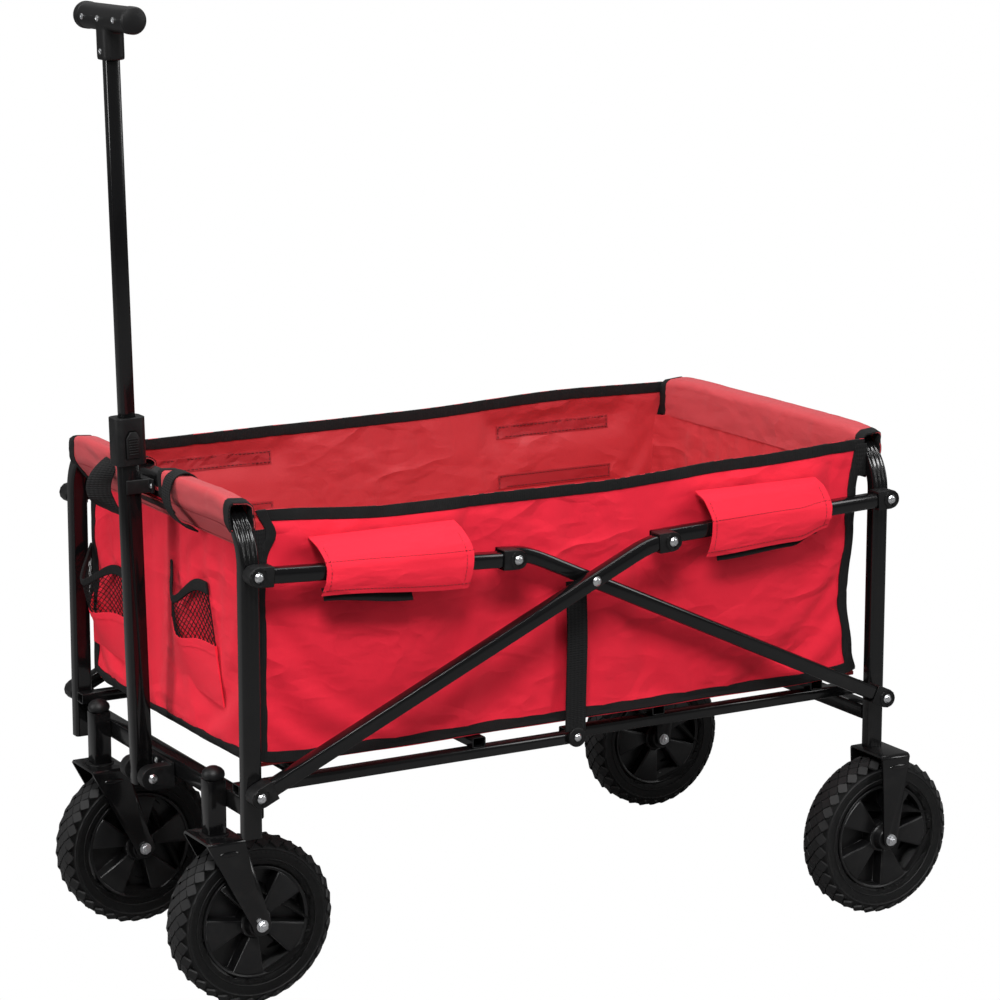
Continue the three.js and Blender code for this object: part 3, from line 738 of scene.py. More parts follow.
for name, (body, x, z, out) in pivots.items():
    for side, sign in SIDES.items():
        face = sign * (LEG_Y + out + CAP_HALF)
        cap = refined(f"{name}_{side}", width=0.0012, segments=3)
        inner_face = face - sign * 2 * CAP_HALF
        rims = [copied(cap_rim, "rim", at(x, y, z, turn)) for y, turn in ((face, -sign), (inner_face, sign))]
        cap = smooth(joined(f"{name}_{side}_finished", [*rims, cap]), 35)
        dressed(cap, body, PLASTIC, f"{name}_{side}")
        dressed(copied(rivet, f"{name}_rivet_{side}", at(x, face, z, -sign)), body, STEEL)
for side, sign in SIDES.items():
    face = sign * (LEG_Y + 0.0276 + 0.008)
    crossing = copied(rivet, f"crossing_rivet_{side}", at(MID_X, face, CROSS_Z, -sign))
    dressed(crossing, "outer_braces", STEEL)
print("pivots:", len(pivots) * 2 + 2)

# %% [markdown]
# ## The two U-frames
# Each frame is one drawn tube bent over a former. A rounded rectangle is extruded up the leg, spun
# through the corner and extruded to the middle, and the other half is a mirror image. The former
# presses three shallow flutes into the outside of each corner, and they catch the light.

# %% U-frames
LEG_LONG, LEG_WIDE, LEG_BEND, RAIL_Z = 0.020, 0.015, 0.055, 0.535
BEND_Y, BEND_Z = LEG_Y - LEG_BEND, RAIL_Z - LEG_BEND


def fluted(p):
    """Presses three flutes into the outside of a corner."""
    y, z = -p.y - BEND_Y, p.z - BEND_Z
    reach = math.hypot(y, z)
    if y < -0.002 or z < -0.002 or reach < LEG_BEND + LEG_WIDE * 0.4:
        return p
    turn = math.atan2(z, y) / (math.pi / 2)
    across = min(1.0, abs(p.x) / (LEG_LONG * 0.38))
    depth = 0.0016 * math.sin(math.pi * min(1, max(0, turn))) ** 0.7
    depth *= (0.5 - 0.5 * math.cos(across * 3 * math.pi + math.pi)) if across < 1 else 0.0
    return Vector((p.x, -BEND_Y - y * (1 - depth / reach), BEND_Z + z * (1 - depth / reach)))


def u_frame(name, x, body):
    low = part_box(name)[0]
    bpy.ops.mesh.primitive_plane_add(size=1, location=(0, -LEG_Y, low[2]))
    obj = named(name + "_finished")
    obj.scale = (LEG_LONG, LEG_WIDE, 1)
    settle(obj)
    in_edit(obj)
    bpy.ops.mesh.bevel(offset=0.0035, segments=4, affect="VERTICES")
    bpy.ops.mesh.delete(type="ONLY_FACE")
    out_of_edit()
    select_edges(obj, lambda a, b: abs(a.x - b.x) > LEG_LONG / 2)
    bpy.ops.mesh.subdivide(number_cuts=23)
    bpy.ops.mesh.select_all(action="SELECT")
    bpy.ops.mesh.extrude_region_move(TRANSFORM_OT_translate={"value": (0, 0, BEND_Z - low[2])})
    bpy.ops.mesh.spin(steps=26, angle=math.pi / 2, center=(0, -BEND_Y, BEND_Z), axis=(1, 0, 0))
    bpy.ops.mesh.extrude_region_move(TRANSFORM_OT_translate={"value": (0, BEND_Y, 0)})
    out_of_edit()
    moved(obj, fluted)
    modifier(obj, "MIRROR", use_axis=(False, True, False), use_mirror_merge=True, merge_threshold=0.0001)
    in_edit(obj, "DESELECT")
    bpy.ops.mesh.select_non_manifold()
    bpy.ops.mesh.edge_face_add()
    out_of_edit()
    outward(obj)
    obj.data.transform(Matrix.Translation((x, 0, 0)))
    return dressed(smooth(obj, 50), body, PAINT, name)


front_u = u_frame("front_u_frame", FRONT_X, "front_frame")
u_frame("rear_u_frame", REAR_X, "rear_frame")
print("front frame reaches", [round(max(v.co[i] for v in front_u.data.vertices), 4) for i in range(3)])

# %% [markdown]
# ## Wheels
# A tyre is a turned carcass with two fine rings on each sidewall. Its tread is one small diamond
# block, copied round in five rows that step sideways by half a block and roll over the shoulders.
# The rim is turned too, and then its face is cut into five raised wedges and five deep pockets.

# %% Wheels
TYRE_OUT, RIM_OUT = 0.0875, 0.061
BLOCKS_AROUND = 34
WEDGES = 5
RIM_FACE = (0.0170, 0.0570)


def carcass():
    half = [
        (RIM_OUT, 0.0135), (0.0625, 0.0160), (0.0650, 0.0178), (0.0672, 0.0186), (0.0677, 0.0194),
        (0.0684, 0.0194), (0.0689, 0.0188), (0.0740, 0.0196), (0.0776, 0.0195), (0.0781, 0.0202),
        (0.0788, 0.0202), (0.0793, 0.0192), (0.0820, 0.0180), (0.0846, 0.0152), (0.0862, 0.0110),
        (TYRE_OUT, 0.0050),
    ]
    profile = half + [(r, -y) for r, y in reversed(half)] + [half[0]]
    return smooth(rings("tyre", profile, 84), 30)


def tread_block(wide, long, tall):
    """A diamond block that stands on the XY plane and points along X."""
    bpy.ops.mesh.primitive_circle_add(vertices=4, radius=1, fill_type="NGON")
    block = named("tread_block")
    block.scale = (long / 2, wide / 2, 1)
    settle(block)
    in_edit(block)
    bpy.ops.mesh.bevel(offset=0.0012, segments=1, affect="VERTICES")
    bpy.ops.mesh.select_all(action="SELECT")
    bpy.ops.mesh.extrude_region_move(TRANSFORM_OT_translate={"value": (0, 0, tall + 0.001)})
    bpy.ops.transform.resize(value=(0.92, 0.92, 1), center_override=(0, 0, 0))
    out_of_edit()
    block.data.transform(Matrix.Translation((0, 0, -0.001)))
    return outward(block)


def tyre_shape():
    block = tread_block(0.0146, 0.0160, 0.0011)
    rows = (
        (0.0, TYRE_OUT, 0, 0.0), (-0.0078, TYRE_OUT - 0.0003, 7, 0.5), (0.0078, TYRE_OUT - 0.0003, -7, 0.5),
        (-0.0150, TYRE_OUT - 0.0020, 38, 0.0), (0.0150, TYRE_OUT - 0.0020, -38, 0.0),
    )
    pieces = [carcass()]
    for across, out, tilt, step in rows:
        for count in range(BLOCKS_AROUND):
            turn = Matrix.Rotation((count + step) / BLOCKS_AROUND * 2 * math.pi, 4, "Y")
            stand = Matrix.Translation((0, across, out)) @ Matrix.Rotation(math.radians(tilt), 4, "X")
            pieces.append(copied(block, "block", turn @ stand))
    removed(block)
    return smooth(joined("tyre_shape", pieces), 25)


def in_wedge(centre, inner, outer, raised):
    reach = math.hypot(centre.x, centre.z)
    part = (math.atan2(centre.z, centre.x) / (2 * math.pi) * WEDGES) % 1.0
    return inner < reach < outer and (part < 0.5) == raised


def rim_shape():
    """One half of the rim is turned and cut, and mirrored to the other side of the wheel."""
    half = [
        (RIM_OUT - 0.0006, 0.0), (RIM_OUT - 0.0006, -0.0150), (0.0598, -0.0164), (0.0586, -0.0164),
        (0.0578, -0.0154), (RIM_FACE[1], -0.0154), (RIM_FACE[0], -0.0154), (0.0150, -0.0158),
        (0.0138, -0.0180), (0.0128, -0.0262), (0.0118, -0.0270), (0.0046, -0.0270), (0.0044, 0.0),
    ]
    rim = rings("rim_shape", half, WEDGES * 16)
    face = lambda raised: lambda c, n: n.y < -0.5 and in_wedge(c, *RIM_FACE, raised)
    select_faces(rim, face(False))
    bpy.ops.mesh.inset(thickness=0.0003, depth=0.0)
    bpy.ops.mesh.inset(thickness=0.0006, depth=-0.0138)
    out_of_edit()
    select_faces(rim, face(True))
    bpy.ops.mesh.inset(thickness=0.0003, depth=0.0)
    bpy.ops.mesh.inset(thickness=0.0006, depth=0.0010)
    out_of_edit()
    select_faces(rim, lambda c, n: abs(c.y) < 0.0001)
    bpy.ops.mesh.delete(type="FACE")
    out_of_edit()
    modifier(rim, "MIRROR", use_axis=(False, True, False), use_mirror_merge=True, merge_threshold=0.0001)
    outward(rim)
    modifier(rim, "BEVEL", width=0.0004, segments=1, limit_method="ANGLE", angle_limit=math.radians(40))
    return smooth(rim, 35)


def axle_head():
    """A flanged nut on a washer, with the bolt's turned end in the middle."""
    washer = rings("axle_washer", [(0.0066, 0.0006), (0.0066, -0.0006), (0.0030, -0.0008)], 28)
    nut = [(0.0056, -0.0008), (0.0056, -0.0038), (0.0048, -0.0044), (0.0032, -0.0044)]
    hexagon = rings("axle_hexagon", nut, 6)
    tip = rings("axle_tip", [(0.0028, -0.0040), (0.0028, -0.0052), (0.0020, -0.0057)], 20)
    return smooth(joined("axle_head", [washer, tip, hexagon]), 30)


tyre_master, rim_master, head_master = tyre_shape(), rim_shape(), axle_head()
wheel_turn = {"front_left": 26, "front_right": -4, "rear_left": 52, "rear_right": 18}
FORK_OUT = 0.031
FORK_PLATE = 0.003
for name, turn in wheel_turn.items():
    low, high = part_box(name + "_tyre")
    hub = Vector([(a + b) / 2 for a, b in zip(low, high)])
    end, side = name.split("_")
    body = f"{end}_wheel_{side}"
    place = Matrix.Translation(hub) @ Matrix.Rotation(math.radians(-turn), 4, "Y")
    dressed(copied(tyre_master, name + "_tyre_finished", place), body, RUBBER, name + "_tyre")
    dressed(copied(rim_master, name + "_rim_finished", place), body, RIM, name + "_rim")
    holder = f"caster_{side}" if end == "front" else "rear_frame"
    bolt = name + "_axle_bolt"
    heads = [copied(head_master, "head", at(hub.x, hub.y + s * FORK_OUT, hub.z, -s)) for s in (-1, 1)]
    shaft = rings("shaft", [(0.0039, -0.0320), (0.0039, 0.0320)], 20)
    shaft.data.transform(Matrix.Translation(hub))
    dressed(joined(bolt + "_finished", [shaft, *heads]), holder, STEEL, bolt)
removed(tyre_master, rim_master, head_master)
print("tyre outside radius", round((high[0] - low[0]) / 2, 4))

# %% [markdown]
# ## Forks and posts
# A fork is a plate bent down on both sides of its wheel, so its top edges are rounded by the
# bending, not sharp. The two long edges get a wide bevel, and a lens-shaped rib, pressed into each
# arm to stiffen it, is added near the bend. A thin washer carries each caster under its post.


# %% Forks and posts
def bent_fork(name, body):
    low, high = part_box(name)
    piece = bpy.data.objects.new(name + "_finished", nodes[name].data.copy())
    bpy.context.scene.collection.objects.link(piece)
    in_edit(piece)
    bpy.ops.mesh.remove_doubles(threshold=0.00001)
    bpy.ops.mesh.dissolve_limited(angle_limit=math.radians(0.7))
    out_of_edit()
    middle = (low[1] + high[1]) / 2
    top = 0.1857 if body.startswith("caster") else high[2]

    def along_x(a, b):
        return abs(a.x - b.x) > 0.02

    def on_line(point, out, down):
        return abs(point.z - top + down) < 0.0002 and abs(abs(point.y - middle) - out) < 0.0003

    def outer_corner(a, b):
        return along_x(a, b) and all(on_line(p, FORK_OUT, 0) for p in (a, b))

    def inner_corner(a, b):
        return along_x(a, b) and all(on_line(p, FORK_OUT - FORK_PLATE, FORK_PLATE) for p in (a, b))

    select_edges(piece, outer_corner)
    bpy.ops.mesh.bevel(offset=0.0055, segments=6, affect="EDGES")
    out_of_edit()
    select_edges(piece, inner_corner)
    bpy.ops.mesh.bevel(offset=0.0025, segments=3, affect="EDGES")
    out_of_edit()
    modifier(piece, "BEVEL", width=0.0007, segments=2, limit_method="ANGLE", angle_limit=math.radians(35))
    centre = (low[0] + high[0]) / 2 if not body.startswith("caster") else -0.409
    ribs = []
    for sign in (-1, 1):
        bpy.ops.mesh.primitive_uv_sphere_add(segments=20, ring_count=10, radius=1)
        rib = named("rib")
        rib.scale = (0.0115, 0.0017, 0.0028)
        rib.location = (centre + 0.003, middle + sign * FORK_OUT, top - 0.0135)
        ribs.append(settle(rib))
    piece = joined(name + "_finished", [*ribs, piece])
    return dressed(smooth(piece, 35), body, PAINT, name)


WASHER = [
    (0.0150, -0.0006), (0.0156, 0.0), (0.0150, 0.0006),
    (0.0062, 0.0006), (0.0062, -0.0006), (0.0150, -0.0006),
]
for side, sign in SIDES.items():
    bent_fork(f"caster_fork_{side}", f"caster_{side}")
    bent_fork(f"rear_fork_{side}", "rear_frame")
    finish_copy(
        f"post_cap_{side}", "front_frame", PLASTIC, "moulded_plastic", width=0.0008, smooth_degrees=60
    )
    low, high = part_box(f"post_cap_{side}")
    middle = ((low[0] + high[0]) / 2, (low[1] + high[1]) / 2)
    washer = rings("washer", WASHER, 32)
    washer.data.transform(Matrix.Translation((*middle, 0.18635)) @ Matrix.Rotation(math.pi / 2, 4, "X"))
    washer.name = f"caster_washer_{side}"
    dressed(smooth(washer, 30), "front_frame", PLASTIC)
print("forks finished")

# %% [markdown]
# ## The pull handle
# Two tubes slide in one another, and a collar with a lock button joins them. The button has ribs
# for the thumb. The T-shaped grip is moulded in one piece, so its bar flows into its stem: a voxel
# remesh of the CAD shape followed by smoothing gives that soft blend.

# %% Pull handle
HANDLE_PIVOT = Vector((-0.424, 0.0, 0.216))
HANDLE_LEAN = math.radians(1.36)
up_handle = Matrix.Translation(HANDLE_PIVOT) @ Matrix.Rotation(-HANDLE_LEAN, 4, "Y")

collar = refined("handle_collar", width=0.0022, segments=4, degrees=50)
dressed(collar, "handle", PLASTIC, "handle_collar")
button = refined("lock_button", width=0.0006, segments=2)
BUTTON_FACE, BUTTON_Z = -0.0165, 0.358
ridges = []
for count in range(7):
    height = BUTTON_Z - 0.0095 + count * 0.0027
    bpy.ops.mesh.primitive_cube_add(size=1, location=(0, BUTTON_FACE - 0.0002, height))
    ridge = named("ridge")
    ridge.scale = (0.0108, 0.0016, 0.0012)
    settle(ridge)
    modifier(ridge, "BEVEL", width=0.0004, segments=2)
    ridge.data.transform(up_handle)
    ridges.append(ridge)
button = smooth(joined("lock_button_finished", [*ridges, button]), 40)
dressed(button, "lock_button", PLASTIC, "lock_button")

grip = bpy.data.objects.new("grip", nodes["handle_grip"].data.copy())
bpy.context.scene.collection.objects.link(grip)
in_edit(grip)
bpy.ops.mesh.remove_doubles(threshold=0.00001)
out_of_edit()
modifier(grip, "REMESH", mode="VOXEL", voxel_size=0.0014)
modifier(grip, "SMOOTH", factor=0.6, iterations=14)
GRIP_Z = 0.7996
GRIP_END = [
    (0.0136, 0.0), (0.01425, 0.0004), (0.01425, 0.0098), (0.0128, 0.0122), (0.0090, 0.0136), (0.0030, 0.0140),
]
end_caps = []
for sign in (-1, 1):
    seam = rings("seam", GRIP_END, 40)
    facing = Matrix.Identity(4) if sign > 0 else Matrix.Rotation(math.pi, 4, "Z")
    seam.data.transform(up_handle @ Matrix.Translation((0, sign * 0.0512, GRIP_Z)) @ facing)
    end_caps.append(smooth(seam, 30))
grip = smooth(joined("handle_grip_finished", [*end_caps, grip]), 50)
dressed(grip, "handle_upper", PLASTIC, "handle_grip")

SCREW_HEAD = [(0.0032, 0.0008), (0.0032, -0.0002), (0.0026, -0.0009), (0.0012, -0.0010), (0.0010, -0.0003)]
screw = rings("screw", SCREW_HEAD, 16)
to_front = Matrix.Rotation(-math.pi / 2, 4, "Z")
screw_places = [(-0.0137, y, GRIP_Z) for y in (-0.040, 0.0, 0.040)] + [(-0.0118, 0.0, 0.766)]
for count, (x, y, z) in enumerate(screw_places):
    one = copied(screw, f"grip_screw_{count}", up_handle @ Matrix.Translation((x, y, z)) @ to_front)
    dressed(smooth(one, 30), "handle_upper", STEEL)

inner = refined("handle_inner_tube", width=0.0004, smooth_degrees=50)
dressed(inner, "handle_upper", PAINT, "handle_inner_tube")
bracket = refined("handle_bracket", width=0.0014, segments=3)
dressed(bracket, "front_frame", PLASTIC, "handle_bracket")
bolt = rings("handle_pivot_bolt_finished", [(0.0039, -0.0300), (0.0039, 0.0300)], 20)
bolt.data.transform(Matrix.Translation(HANDLE_PIVOT))
ends = [copied(rivet, "end", at(HANDLE_PIVOT.x, s * 0.0302, HANDLE_PIVOT.z, -s)) for s in (-1, 1)]
bolt = joined("handle_pivot_bolt_finished", [*ends, bolt])
dressed(bolt, "front_frame", STEEL, "handle_pivot_bolt")
clip = refined("handle_clip", width=0.0009, segments=3)
dressed(clip, "front_frame", PLASTIC, "handle_clip")
for sign, side in ((-1, "left"), (1, "right")):
    clip_place = Matrix.Translation((-0.4132, sign * 0.0145, 0.5285)) @ to_front @ Matrix.Scale(0.6, 4)
    one = copied(rivet, f"clip_rivet_{side}", clip_place)
    dressed(one, "front_frame", STEEL)
    bracket_place = Matrix.Translation((-0.4032, sign * 0.0085, 0.2240)) @ to_front
    one = copied(screw, f"bracket_screw_{side}", bracket_place)
    dressed(smooth(one, 30), "front_frame", STEEL)
removed(rivet, cap_rim, screw)
print("handle finished")

# %% [markdown]
# ## Cloth made from grids
# Every panel of the bag is a flat grid that a small function lays in place, so each vertex keeps
# its own row and column. That makes three later steps easy: the edges that are sewn can be pinned
# for the simulation, the outermost two rows can be copied as the binding tape, and the map that
# the weave follows is measured in true metres along the cloth.


# %% Cloth helpers
CELL = 0.0062
TAPE_ROWS = 2


def steps_for(length, cell=CELL):
    return max(2, round(length / cell))


def cloth_grid(name, columns, rows, place, size):
    """A grid whose point (u, v), each from 0 to 1, lies at place(u, v); its map is in metres."""
    bpy.ops.mesh.primitive_grid_add(x_subdivisions=columns, y_subdivisions=rows, size=1)
    obj = named(name)
    uvs = obj.data.uv_layers.active.data
    for loop in obj.data.loops:
        co = obj.data.vertices[loop.vertex_index].co
        uvs[loop.index].uv = ((co.x + 0.5) * size[0], (co.y + 0.5) * size[1])
    obj["columns"], obj["rows"] = columns, rows
    return moved(obj, lambda p: Vector(place(p.x + 0.5, p.y + 0.5)))


def smoothstep(low, high, value):
    t = min(1.0, max(0.0, (value - low) / (high - low)))
    return t * t * (3 - 2 * t)


def between_points(table, value):
    """Reads a smooth curve through (place, height) pairs."""
    for (x0, y0), (x1, y1) in zip(table, table[1:]):
        if value <= x1:
            return y0 + (y1 - y0) * smoothstep(x0, x1, value)
    return table[-1][1]


def waves(x, y, scale, seed):
    return noise.noise(Vector((x * scale, y * scale, seed * 3.7)))


def grid_place(obj, index):
    columns = obj["columns"] + 1
    return index % columns, index // columns


def simulate(obj, pinned, frames=16, slack=0.008, cap=0.012, stiffness=3.0):
    """Lets a sewn panel buckle under its own slack, with its seams pinned and its travel capped."""
    start = [v.co.copy() for v in obj.data.vertices]
    group = obj.vertex_groups.new(name="sewn")
    group.add([v.index for v in obj.data.vertices if pinned(*grid_place(obj, v.index), v.co)], 1.0, "REPLACE")
    pick(obj)
    cloth = obj.modifiers.new("cloth", "CLOTH")
    cloth.settings.quality = 6
    cloth.settings.mass = 0.12
    cloth.settings.tension_stiffness = 30
    cloth.settings.compression_stiffness = 18
    cloth.settings.shear_stiffness = 8
    cloth.settings.bending_stiffness = stiffness
    cloth.settings.air_damping = 3.0
    cloth.settings.shrink_min = -slack
    cloth.settings.vertex_group_mass = "sewn"
    cloth.point_cache.frame_start = 1
    cloth.point_cache.frame_end = frames
    for frame_number in range(1, frames + 1):
        bpy.context.scene.frame_set(frame_number)
    bpy.ops.object.modifier_apply(modifier=cloth.name)
    bpy.context.scene.frame_set(1)
    farthest = 0.0
    for vertex, place in zip(obj.data.vertices, start):
        travel = vertex.co - place
        if travel.length > cap:
            vertex.co = place + travel.normalized() * cap
        farthest = max(farthest, travel.length)
    print(obj.name, "moved up to", round(farthest * 1000, 1), "mm")
    obj.vertex_groups.clear()
    return obj


def border(obj, name, rows=TAPE_ROWS, sides="lrbt", thick=0.0034, offset=0.0, also=None):
    """Binding tape: the outermost rows of a panel, copied and thickened to lap both faces.

    An offset of 1 or -1 keeps it on one face only, and also(centre) adds faces to it."""
    columns, lines = obj["columns"], obj["rows"]
    tape = copied(obj, name)
    tape["columns"], tape["rows"] = columns, lines

    def kept(face):
        spots = [grid_place(obj, i) for i in face.vertices]
        i, j = min(s[0] for s in spots), min(s[1] for s in spots)
        near = {"l": i < rows, "r": i >= columns - rows, "b": j < rows, "t": j >= lines - rows}
        return any(near[s] for s in sides) or (also and also(face.center))

    in_edit(tape, "DESELECT")
    bpy.ops.mesh.select_mode(type="FACE")
    out_of_edit()
    for face in tape.data.polygons:
        face.select = not kept(face)
    bpy.ops.object.mode_set(mode="EDIT")
    bpy.ops.mesh.delete(type="FACE")
    out_of_edit()
    modifier(tape, "SOLIDIFY", thickness=thick, offset=offset, use_even_offset=False)
    modifier(tape, "BEVEL", width=0.0008, segments=2, limit_method="ANGLE", angle_limit=math.radians(50))
    return smooth(tape, 60)


def thickened(obj, thick=0.0012, backing=1):
    """Gives a sheet its thickness, with the backing's own finish on the inside."""
    pick(obj)
    obj.data.materials.clear()
    for _ in range(backing + 1):
        obj.data.materials.append(None)
    solid = obj.modifiers.new("thickness", "SOLIDIFY")
    solid.thickness = thick
    solid.offset = 0.0
    solid.use_even_offset = False
    solid.material_offset = backing
    bpy.ops.object.modifier_apply(modifier=solid.name)
    return smooth(obj, 80)


def stitches(name, points, pitch=0.0042, long=0.0026, wide=0.0006):
    """A seam: small raised dashes set one after another along a path, a few faces each."""
    dashes = []
    bpy.ops.mesh.primitive_cube_add(size=1)
    dash = named("dash")
    dash.scale = (long, wide, wide)
    settle(dash)
    wait = 0.0
    for a, b in zip(points, points[1:]):
        a, b = Vector(a), Vector(b)
        length = (b - a).length
        while wait <= length and length > 0:
            turn = (b - a).to_track_quat("X", "Z").to_matrix().to_4x4()
            dashes.append(copied(dash, "stitch", Matrix.Translation(a.lerp(b, wait / length)) @ turn))
            wait += pitch
        wait -= length
    removed(dash)
    return joined(name, dashes)


# %% [markdown]
# ## The four panels
# The bag hangs from its two end sleeves, so its long edges are only as straight as the cloth is
# tight: they dip, and the end edges draw inward half way down. Each panel starts with that shape
# and with slow waves in it, and a short cloth simulation with its seams pinned turns the waves
# into the soft creases of coated cloth. The tubes lie just outside, so no fold may pass them.

# %% Side panels
BAG_FRONT, BAG_REAR = -0.3875, 0.3635
BAG_BOTTOM, BAG_SIDE = 0.2675, 0.2055
PANEL_LIMIT = 0.2090
TOP_NEAR = ((-0.39, 0.535), (-0.225, 0.5255), (0.015, 0.5235), (0.193, 0.5325), (0.37, 0.5385))
TOP_FAR = ((-0.39, 0.5325), (0.0, 0.5368), (0.22, 0.5436), (0.37, 0.541))


REAR_DRAWN_IN = ((0.26, 0.002), (0.30, 0.012), (0.36, 0.021), (0.44, 0.013), (0.48, 0.011), (0.535, 0.0))


def edge_in(z, rear):
    """How far a corner seam is drawn in at a height."""
    if rear:
        return between_points(REAR_DRAWN_IN, z)
    return 0.013 * math.exp(-(((z - 0.510) / 0.018) ** 2))


def creased(x, z, scale, seed):
    """Narrow ridges where slow waves change sign, as folds that were once pressed in."""
    return max(0.0, 1 - 4 * abs(waves(x, z, scale, seed))) ** 1.5


FLAP_SPANS = ((-0.332, -0.164), (0.133, 0.290))  # where the flaps are sewn on, along X
FLAP_SEAM = 0.5035
FLAP_PULL = 0.009


def pulled(x, z):
    """How far the flaps pull the side panel out toward the tubes at a place."""
    near = sum(smoothstep(a - 0.05, a, x) * (1 - smoothstep(b, b + 0.05, x)) for a, b in FLAP_SPANS)
    return FLAP_PULL * near * math.exp(-(((z - FLAP_SEAM) / 0.020) ** 2))


def side_place(side):
    tops = TOP_NEAR if side < 0 else TOP_FAR

    def place(u, v):
        x = BAG_FRONT + u * (BAG_REAR - BAG_FRONT)
        curl = 0.009 * (math.exp(-u / 0.03) + math.exp(-(1 - u) / 0.03))
        low = BAG_BOTTOM + curl + 0.0015 * waves(x, 0, 9, 1)
        z = low + (between_points(tops, x) - low) * v
        x += edge_in(z, False) * (1 - u) ** 6 - edge_in(z, True) * u ** 6
        inside = math.sin(math.pi * min(1, max(0, u))) ** 0.5 * math.sin(math.pi * v) ** 0.5
        hollow = 0.004 * inside * (1 + 0.8 * waves(x + z * 0.6, z - x * 0.5, 11, side + 4))
        hollow += 0.0022 * inside * waves(x - z, z + x, 26, side + 9)
        hollow += 0.0020 * inside * creased(x + 0.5 * z, z, 9, side + 14)
        hollow += 0.004 * v ** 6 * math.sin(math.pi * u) ** 2 * (1 + waves(x, 1, 6, side + 2))
        return x, side * (BAG_SIDE + 0.0015 - hollow + pulled(x, z)), z

    return place


def pressed_by_tubes(p):
    """Nothing bulges past the tubes outside: a fold that would is flattened against them."""
    limit = PANEL_LIMIT - 0.002 + pulled(p.x, p.z)
    over = abs(p.y) - limit
    if over > 0:
        p.y = math.copysign(limit + 0.002 * (1 - math.exp(-over / 0.002)), p.y)
    return p


SIDE_LONG, SIDE_TALL = BAG_REAR - BAG_FRONT, 0.268
side_columns, side_rows = steps_for(SIDE_LONG), steps_for(SIDE_TALL)
side_panels = {}
panel_points = {}


def folds_with_the_frame(obj):
    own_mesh(obj)
    return obj


def side_pinned(i, j, p):
    if i == 0 or j == 0 or i == side_columns or j == side_rows:
        return True
    seam = abs(p.z - FLAP_SEAM) < CELL * 0.6
    return seam and i % 2 == 0 and any(a < p.x < b for a, b in FLAP_SPANS)


for side, sign in SIDES.items():
    panel = cloth_grid(
        f"side_panel_{side}", side_columns, side_rows, side_place(sign), (SIDE_LONG, SIDE_TALL)
    )
    simulate(panel, side_pinned)
    moved(panel, pressed_by_tubes)
    if sign > 0:
        panel.data.flip_normals()
    side_panels[side] = panel
    panel_points[side] = [v.co.copy() for v in panel.data.vertices]
print("side panel points:", len(panel.data.vertices))

# %% End panels
END_TOP = 0.507


def end_place(x, out, seed):
    def place(u, v):
        y = (u - 0.5) * 2 * (BAG_SIDE + 0.001)
        corner = smoothstep(0.160, 0.205, abs(y))
        low = BAG_BOTTOM + 0.002 + 0.007 * smoothstep(0.17, 0.205, abs(y)) + 0.002 * waves(y, 0, 8, seed)
        z = low + (END_TOP - (0.030 if out < 0 else 0.006) * corner - low) * v
        inside = math.sin(math.pi * u) ** 0.6 * math.sin(math.pi * v) ** 0.6
        bulge = 0.0035 * inside * (0.6 + waves(y + z * 0.5, z, 12, seed))
        bulge += 0.0020 * inside * waves(y - z, z, 28, seed + 1)
        bulge -= 0.0022 * inside * creased(y, z + 0.4 * y, 10, seed + 2)
        corner_in = edge_in(z, out > 0) * abs(2 * u - 1) ** 9
        return x + out * (bulge - 0.0005 - corner_in), y, z

    return place


END_WIDE, END_TALL = 2 * BAG_SIDE, END_TOP - BAG_BOTTOM
end_columns, end_rows = steps_for(END_WIDE), steps_for(END_TALL)
end_panels = {}
for name, x, out, body in (("front", BAG_FRONT, -1, "front_frame"), ("rear", BAG_REAR, 1, "rear_frame")):
    panel = cloth_grid(
        f"{name}_panel", end_columns, end_rows, end_place(x, out, 20 + out), (END_WIDE, END_TALL)
    )
    simulate(panel, lambda i, j, p: i in (0, end_columns) or j in (0, end_rows), cap=0.010)
    moved(panel, lambda p: Vector((max(-0.3935, min(0.3690, p.x)), p.y, p.z)))
    if out < 0:
        panel.data.flip_normals()
    end_panels[name] = panel

# %% [markdown]
# ## Binding, backing and the floor
# The tape laps every raw edge and holds the panels together. Taking it from the panel's own
# outermost rows keeps it on the cloth whatever the simulation did. The panels then get their
# thickness, with a coated backing inside. The floor is cloth over a stiff insert.

# %% Binding and backing
for side, sign in SIDES.items():
    panel = side_panels[side]
    top = border(panel, "top_tape", sides="t")
    seams = border(panel, "seam_tape", sides="lrb", thick=0.0022, offset=1.0)
    tape = smooth(joined(f"side_tape_{side}", [top, seams]), 60)
    dressed(tape, None, TAPE)
    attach(tape, "rear_frame")
    folds_with_the_frame(tape)
    thickened(panel)
    dressed(panel, None, [RED, RED_BACK], f"bag_side_{side}")
    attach(panel, "rear_frame")
    folds_with_the_frame(panel)
for name, panel in end_panels.items():
    tape = border(panel, f"{name}_panel_tape", sides="lrb", thick=0.0022, offset=1.0)
    body = f"{name}_frame"
    dressed(tape, body, TAPE)
    thickened(panel)
    dressed(panel, body, [RED, RED_BACK])

FLOOR_TOP = 0.2722
bottom = cloth_grid(
    "bag_bottom", steps_for(SIDE_LONG, 0.012), steps_for(END_WIDE, 0.012),
    lambda u, v: (
        BAG_FRONT + 0.004 + u * (SIDE_LONG - 0.008), (v - 0.5) * 2 * (BAG_SIDE - 0.002),
        FLOOR_TOP - 0.0025 + 0.0008 * waves(u, v, 5, 31),
    ),
    (SIDE_LONG, END_WIDE),
)
modifier(bottom, "SOLIDIFY", thickness=0.005, offset=0.0)
modifier(bottom, "BEVEL", width=0.0012, segments=2, limit_method="ANGLE", angle_limit=math.radians(50))
dressed(smooth(bottom, 50), "rear_frame", RED_BACK, "bag_floor")
folds_with_the_frame(bottom)
print("panels bound")

